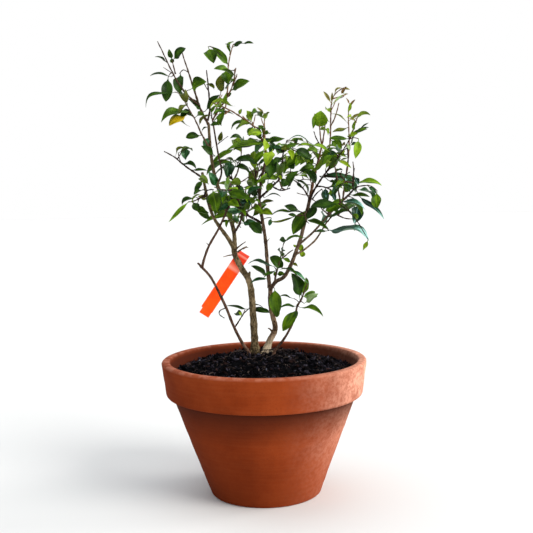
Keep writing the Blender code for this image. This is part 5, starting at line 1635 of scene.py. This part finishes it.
def make_label():
    """The bare orange strip, bent back behind the left stem."""
    run, rise = TAG_TOP[0] - TAG_FOOT[0], TAG_TOP[1] - TAG_FOOT[1]
    size = math.hypot(run, rise)
    ahead = (run / size, rise / size)
    share, away = TAG_BENDS[0]
    path = [(far, TAG_START + (away - TAG_START) * far / (TAG_RUN * share)) for far in TAG_MARKS]
    path += [(TAG_RUN * share, away) for share, away in TAG_BENDS]
    for i in range(TAG_FOLD_STEPS + 1):
        turn = math.pi * i / TAG_FOLD_STEPS
        path.append((TAG_RUN + LABEL_FOLD * math.sin(turn), LABEL_BACK + LABEL_FOLD * (1 - math.cos(turn))))
    path.append((TAG_RUN - LABEL_TAIL, LABEL_BACK + 2 * LABEL_FOLD))
    side = Vector((ahead[1], 0, -ahead[0])) * (TAG_WIDTH / 2)
    middle = [spot(TAG_FOOT[0] + ahead[0] * far, TAG_FOOT[1] + ahead[1] * far, away) for far, away in path]
    points, places = [], []
    columns = list(range(TAG_COLUMNS + 1))
    loop = [(-1, column) for column in columns] + [(1, column) for column in columns[::-1]]
    for i, point in enumerate(middle):
        thick = side.cross(heading(middle, i)).normalized()
        narrow = TAG_NARROW if path[i][0] < TAG_NARROW_TO else 1
        for sheet, column in loop:
            c = 2 * column / TAG_COLUMNS - 1
            shift = thick * (LABEL_THICKNESS / 2 * sheet)
            points.append(point + side * (c * narrow + (1 - narrow) * TAG_NARROW_SIDE) + shift
                          + thick * (TAG_CURL * c * c))
            places.append((0.5 + c / 2, path[i][0] / TAG_RUN))
    faces = ring_faces(len(middle) - 1, len(loop))
    for a in range(TAG_COLUMNS):
        end = (a, len(loop) - 1 - a, len(loop) - 2 - a, a + 1)
        faces += [end, [len(points) - len(loop) + i for i in end[::-1]]]
    heap = Heap()
    heap.add(points, faces, places)
    piece = heap.build("plant_tag", tag_material())
    piece.data.set_sharp_from_angle(angle=math.radians(TAG_SHARP))
    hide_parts("label")


def solid(colour):
    """A colour with its alpha, or the socket that feeds it."""
    return colour if isinstance(colour, bpy.types.NodeSocket) else (*colour, 1)


def tinted(colour, share):
    """A colour made lighter or darker."""
    return [c * share for c in colour]


class Nodes:
    """The nodes of a material or of the surround, with short names for those used most."""

    def __init__(self, owner):
        """Gives the owner its nodes."""
        owner.use_nodes = True
        self.owner = owner
        self.tree = owner.node_tree

    def add(self, kind, values=None, **settings):
        """A node with its settings; a value is a number or the socket that feeds it."""
        node = self.tree.nodes.new(kind)
        for key, value in settings.items():
            setattr(node, key, value)
        for key, value in (values or {}).items():
            if isinstance(value, bpy.types.NodeSocket):
                self.tree.links.new(value, node.inputs[key])
            else:
                node.inputs[key].default_value = value
        return node

    def place(self, scale=(1, 1, 1)):
        """Coordinates fixed to the object, stretched by scale."""
        place = self.add("ShaderNodeTexCoord").outputs["Object"]
        return self.add("ShaderNodeMapping", {"Vector": place, "Scale": scale}).outputs[0]

    def layer(self, name):
        """A pair of numbers kept for each point."""
        return self.add("ShaderNodeUVMap", uv_map=name).outputs[0]

    def parts(self, place):
        """A vector's X, Y and Z."""
        return self.add("ShaderNodeSeparateXYZ", {0: place}).outputs

    def grain(self, place, scale, detail=4, rough=0.6):
        """Noise from 0 to 1."""
        values = {"Vector": place, "Scale": scale, "Detail": detail, "Roughness": rough}
        return self.add("ShaderNodeTexNoise", values).outputs["Fac"]

    def ramp(self, factor, stops):
        """Colours along a factor."""
        node = self.add("ShaderNodeValToRGB", {"Fac": factor})
        band = node.color_ramp
        band.elements[0].position, band.elements[0].color = stops[0][0], (*stops[0][1], 1)
        band.elements[1].position, band.elements[1].color = stops[-1][0], (*stops[-1][1], 1)
        for position, colour in stops[1:-1]:
            band.elements.new(position).color = (*colour, 1)
        return node.outputs["Color"]

    def greys(self, factor, stops):
        """Greys along a factor."""
        return self.ramp(factor, [(position, (grey,) * 3) for position, grey in stops])

    def mix(self, factor, first, second):
        """Two colours mixed."""
        values = {0: factor, 6: solid(first), 7: solid(second)}
        return self.add("ShaderNodeMix", values, data_type="RGBA").outputs[2]

    def rescale(self, value, low, high, start=0.0, end=1.0):
        """A value carried from one range to another, held at its ends."""
        values = {"Value": value, "From Min": low, "From Max": high, "To Min": start, "To Max": end}
        return self.add("ShaderNodeMapRange", values).outputs["Result"]

    def maths(self, operation, first, second=0.0):
        """One step of arithmetic."""
        return self.add("ShaderNodeMath", {0: first, 1: second}, operation=operation).outputs[0]

    def vector(self, operation, first, second=(0, 0, 0)):
        """One step of arithmetic with vectors."""
        return self.add("ShaderNodeVectorMath", {0: first, 1: second}, operation=operation).outputs

    def times(self, first, second):
        """Two values multiplied."""
        return self.maths("MULTIPLY", first, second)

    def weigh(self, *pairs):
        """A sum of values, each times its weight."""
        terms = [value if weight == 1 else self.times(value, weight) for value, weight in pairs]
        total = terms[0]
        for term in terms[1:]:
            total = self.maths("ADD", total, term)
        return total

    def finish(self, colour, height, strength, distance):
        """Gives the shader its colour and its small relief; the finished material."""
        shader = self.tree.nodes["Principled BSDF"]
        values = {"Height": height, "Strength": strength, "Distance": distance}
        relief = self.add("ShaderNodeBump", values)
        self.tree.links.new(colour, shader.inputs["Base Color"])
        self.tree.links.new(relief.outputs["Normal"], shader.inputs["Normal"])
        return self.owner


def new_material(name, roughness, specular, **more):
    """A material's nodes, with values set on its shader; an underscore stands for a space."""
    nodes = Nodes(bpy.data.materials.new(name))
    shader = nodes.tree.nodes["Principled BSDF"]
    shader.inputs["Roughness"].default_value = roughness
    shader.inputs["Specular IOR Level"].default_value = specular
    for key, value in more.items():
        shader.inputs[key.replace("_", " ")].default_value = value
    return nodes


def leaf_material(kind):
    """A leaf: pale rib, faint side veins, a blade that shades unevenly along it, an underside of its own
    colour.
    """
    shaded, plain, bright, under, roughness, gloss = LEAF_KINDS[kind]
    sheen = LEAF_SHEEN.get(kind, LEAF_SHEEN["dark"])
    nodes = new_material("leaf_" + kind, roughness, gloss, Specular_Tint=sheen)
    place, tint = nodes.layer("place"), nodes.layer("tint")
    parts = nodes.parts(place)
    across = nodes.maths("ABSOLUTE", nodes.maths("SUBTRACT", parts["X"], 0.5))
    rib = nodes.rescale(across, 0.0, 0.05, 1.0, 0.0)
    slant = nodes.maths("SUBTRACT", nodes.times(parts["Y"], 62.0), nodes.times(across, 40.0))
    vein = nodes.rescale(nodes.maths("SINE", slant), 0.82, 1.0)
    spread = nodes.vector("MULTIPLY", place, (1.7, 1.25, 0))[0]
    own = nodes.vector("MULTIPLY", tint, (90, 40, 0))[0]
    cloud = nodes.grain(nodes.vector("ADD", spread, own)[0], 1.0, 2)
    mottle = nodes.grain(nodes.place(), 420, 3)
    shade = nodes.weigh((cloud, 1.35), (mottle, 0.35), (nodes.parts(tint)["X"], 0.26))
    shade = nodes.rescale(shade, *LEAF_SHADES)
    # Gloss leaves: a painted highlight towards the tip; yellow leaves: their own two tones across the blade
    if kind in LEAF_LEANS:
        upper, outer = LEAF_LEANS[kind]
        sided = nodes.rescale(parts["X"], 0.0, 1.0, -upper, upper)
        ended = nodes.rescale(parts["Y"], 0.36, 1.12, -outer, outer)
        shade = nodes.maths("ADD", shade, nodes.maths("ADD", sided, ended))
    body = nodes.ramp(shade, ((0.08, shaded), (0.5, plain), (0.97, bright)))
    body = nodes.mix(nodes.times(vein, 0.16), body, bright)
    body = nodes.mix(nodes.times(rib, 0.5), body, bright)
    back = nodes.ramp(shade, ((0.1, tinted(under, 0.6)), (0.9, tinted(under, 1.3))))
    flip = nodes.maths("GREATER_THAN", parts["Y"], 1.5)
    relief = nodes.weigh((rib, -0.8), (vein, -0.3), (mottle, 0.5))
    return nodes.finish(nodes.mix(flip, body, back), relief, 0.35, 0.25 * MM)


def twig_material(name):
    """Thin twigs: brown and slightly streaked, or the reddish green of new growth."""
    nodes = new_material(name, 0.75, 0.05)
    streak = nodes.grain(nodes.place((1, 1, 0.3)), 900)
    shade = nodes.weigh((streak, 0.6), (nodes.parts(nodes.layer("tint"))["X"], 0.4))
    return nodes.finish(nodes.ramp(shade, TWIG_SHADES[name]), streak, 0.5, 0.2 * MM)


def bark_material(kind):
    """Old bark: long pale and dark streaks, fine cracks and a few grey patches."""
    pale, dark = BARK_KINDS[kind]
    nodes = new_material(kind, 0.9, 0.03)
    streak = nodes.grain(nodes.place((1, 1, 0.42)), 780, 6, 0.68)
    patch = nodes.grain(nodes.place((1, 1, 0.5)), 130, 3)
    crack = nodes.grain(nodes.place((1, 1, 0.35)), 1700, 3)
    level = nodes.parts(nodes.place())["Z"]

    def between(heights, most):
        """A share that grows to its most between two heights."""
        low, high = heights
        return nodes.rescale(level, GROUND + low * MM, GROUND + high * MM, 0.0, most)

    middle = [(a + b) / 2 * 0.9 for a, b in zip(pale, dark)]
    body = nodes.ramp(streak, ((0.40, dark), (0.5, middle), (0.61, pale)))
    lichen = nodes.times(nodes.rescale(patch, 0.53, 0.66), 0.6)
    body = nodes.mix(lichen, body, [min(c * 1.4 + 0.015, 1) for c in pale])
    body = nodes.mix(nodes.times(nodes.rescale(patch, 0.48, 0.34), 0.6), body, dark)
    # Painted shade: the bark darkens with height into the crown
    body = nodes.mix(between(BARK_CROWN_SHADE, 0.68), body, tinted(dark, 1.5))
    if kind == "bark_grey":
        body = nodes.mix(between(BARK_LOW, 0.3), body, tinted(dark, 1.5))
    if kind == "bark_rosy":
        body = nodes.mix(nodes.times(between(BARK_EARTH, 0.75), streak), body, BARK_FOOT)
    return nodes.finish(body, nodes.weigh((streak, 1), (crack, 0.5)), 0.8, 0.5 * MM)


def clay_material():
    """Terracotta: burnt orange, with painted shade low down on the left, on the inner wall and under the rim,
    and painted highlights on the right side and along the lip.
    """
    nodes = new_material("terracotta_clay", 0.88, 0.05)
    whole = nodes.place()
    parts = nodes.parts(whole)
    fine = nodes.grain(whole, 420, 5, 0.7)
    rings = nodes.grain(nodes.place((0.04, 0.04, 1)), 330, 3)
    body = nodes.ramp(nodes.grain(whole, 11, 5), CLAY_SHADES)
    body = nodes.mix(nodes.rescale(rings, 0.45, 0.62, 0.0, 0.12), body, CLAY_RINGS)
    body = nodes.mix(nodes.rescale(fine, 0.52, 0.7, 0.0, 0.3), body, CLAY_GRAIN)
    # Painted shade that darkens towards the bottom and the left
    painted_shade = nodes.rescale(nodes.maths("ADD", parts["X"], parts["Z"]), 110 * MM, -40 * MM)
    body = nodes.mix(nodes.times(painted_shade, 0.55), body, CLAY_PAINTED_SHADE)
    radius = nodes.vector("LENGTH", nodes.vector("MULTIPLY", whole, (1, 1, 0))[0])["Value"]
    # Painted highlight on the right side, strongest high up, broken into patches and specks
    right = nodes.rescale(nodes.maths("DIVIDE", parts["X"], radius), 0.1, 0.97)
    right = nodes.maths("POWER", right, 1.9)
    high = nodes.rescale(parts["Z"], 20 * MM, 150 * MM)
    painted_highlight = nodes.times(right, nodes.maths("ADD", nodes.times(high, 0.84), 0.16))
    highlight_patches = nodes.rescale(nodes.grain(whole, 38, 6, 0.65), 0.32, 0.6, 0.5, 1.0)
    highlight_specks = nodes.rescale(nodes.grain(whole, 210, 4, 0.7), 0.42, 0.56, 0.55, 1.0)
    body = nodes.mix(nodes.times(painted_highlight, nodes.times(highlight_patches, highlight_specks)), body, CLAY_PAINTED_HIGHLIGHT)
    # Painted highlight in patches along the top of the lip
    lip = nodes.rescale(parts["Z"], 161.5 * MM, 164.5 * MM)
    lip_highlight_patches = nodes.rescale(nodes.grain(whole, 95), 0.42, 0.6, 0.15, 0.6)
    body = nodes.mix(nodes.times(lip, lip_highlight_patches), body, CLAY_LIP_HIGHLIGHT)
    # Painted shade: darkens everything within the inner lip's radius from 80 mm up, the inner wall and the
    # body under the rim
    inside = nodes.rescale(radius, RIM_RADIUS - LIP + 2 * MM, RIM_RADIUS - LIP - 1 * MM)
    inside = nodes.times(inside, nodes.rescale(parts["Z"], 80 * MM, 120 * MM))
    body = nodes.mix(nodes.times(inside, 0.9), body, CLAY_RECESS_SHADE)
    return nodes.finish(body, nodes.weigh((fine, 1), (rings, 0.6)), 0.45, 0.35 * MM)


def compost_material(name, dark, pale):
    """Moist compost or one of its bits."""
    nodes = new_material(name, 0.92, 0.04)
    speck = nodes.grain(nodes.place(), 700, 5, 0.7)
    shade = nodes.weigh((speck, 0.7), (nodes.parts(nodes.layer("tint"))["X"], 0.3))
    dull = [a + (b - a) * 0.22 for a, b in zip(dark, pale)]
    body = nodes.ramp(shade, ((0.44, dark), (0.58, dull), (0.72, pale)))
    return nodes.finish(body, speck, 0.9, 0.6 * MM)


def tag_material():
    """Thin orange plastic with a faint painted glow, faintly scuffed, with painted highlights where it bends
    and a deeper red with painted shade in its fold.
    """
    # The emission is a painted glow that brightens the tag
    nodes = new_material("tag_plastic", 0.36, 0.12, Emission_Color=TAG_PAINTED_GLOW, Emission_Strength=0.3)
    scuff = nodes.grain(nodes.place((1, 1, 0.15)), 900, 3)
    far = nodes.parts(nodes.layer("place"))["Y"]
    body = nodes.ramp(nodes.grain(nodes.place(), 60), TAG_SHADES)
    body = nodes.mix(nodes.rescale(scuff, 0.6, 0.75, 0.0, 0.3), body, TAG_SCUFF)
    # Deeper red with painted shade over the fold
    body = nodes.mix(nodes.greys(far, TAG_FOLD_RED_AND_SHADE_AT), body, TAG_FOLD_RED_AND_SHADE)
    # Painted highlights where the tag bends and on its fold's crest
    body = nodes.mix(nodes.times(nodes.greys(far, TAG_HIGHLIGHT_AT), 0.62), body, TAG_HIGHLIGHT)
    return nodes.finish(body, scuff, 0.25, 0.2 * MM)


def make_camera():
    """The camera, where the photograph was taken from."""
    camera = bpy.data.objects.new("camera", bpy.data.cameras.new("camera"))
    camera.data.lens = FOCAL / IMAGE_SIZE * SENSOR
    camera.data.sensor_width = SENSOR
    camera.matrix_world = STAND
    bpy.context.scene.collection.objects.link(camera)
    bpy.context.scene.camera = camera
    bpy.context.scene.view_settings.view_transform = "Standard"


def make_studio():
    """Pale floor, soft lights and a pale surround that is brightest near the horizon."""
    for name, (place, power, wide, colour) in LIGHTS.items():
        lamp = bpy.data.lights.new(name, "SUN")
        lamp.energy = power
        lamp.angle = math.radians(wide)
        lamp.color = colour
        light = bpy.data.objects.new(name, lamp)
        light.location = place
        light.rotation_euler = (-Vector(place)).to_track_quat("-Z", "Y").to_euler()
        bpy.context.scene.collection.objects.link(light)
    nodes = Nodes(bpy.data.worlds.new("surround"))
    level = nodes.parts(nodes.add("ShaderNodeTexCoord").outputs["Generated"])["Z"]
    nodes.tree.links.new(nodes.ramp(level, SURROUND), nodes.tree.nodes["Background"].inputs["Color"])
    bpy.context.scene.world = nodes.owner
    bpy.ops.mesh.primitive_circle_add(vertices=96, radius=FLOOR_RADIUS, fill_type="NGON")
    floor = bpy.context.object
    floor.name = "studio_floor"
    floor.data.materials.append(new_material("studio_floor", 0.9, 0.1, Base_Color=(*FLOOR_COLOUR, 1)).owner)


def main():
    """Dresses the part."""
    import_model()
    solid_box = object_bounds()
    make_camera()
    make_studio()
    make_pot()
    make_soil()
    make_label()
    make_plant(solid_box)
    make_limbs()


main()
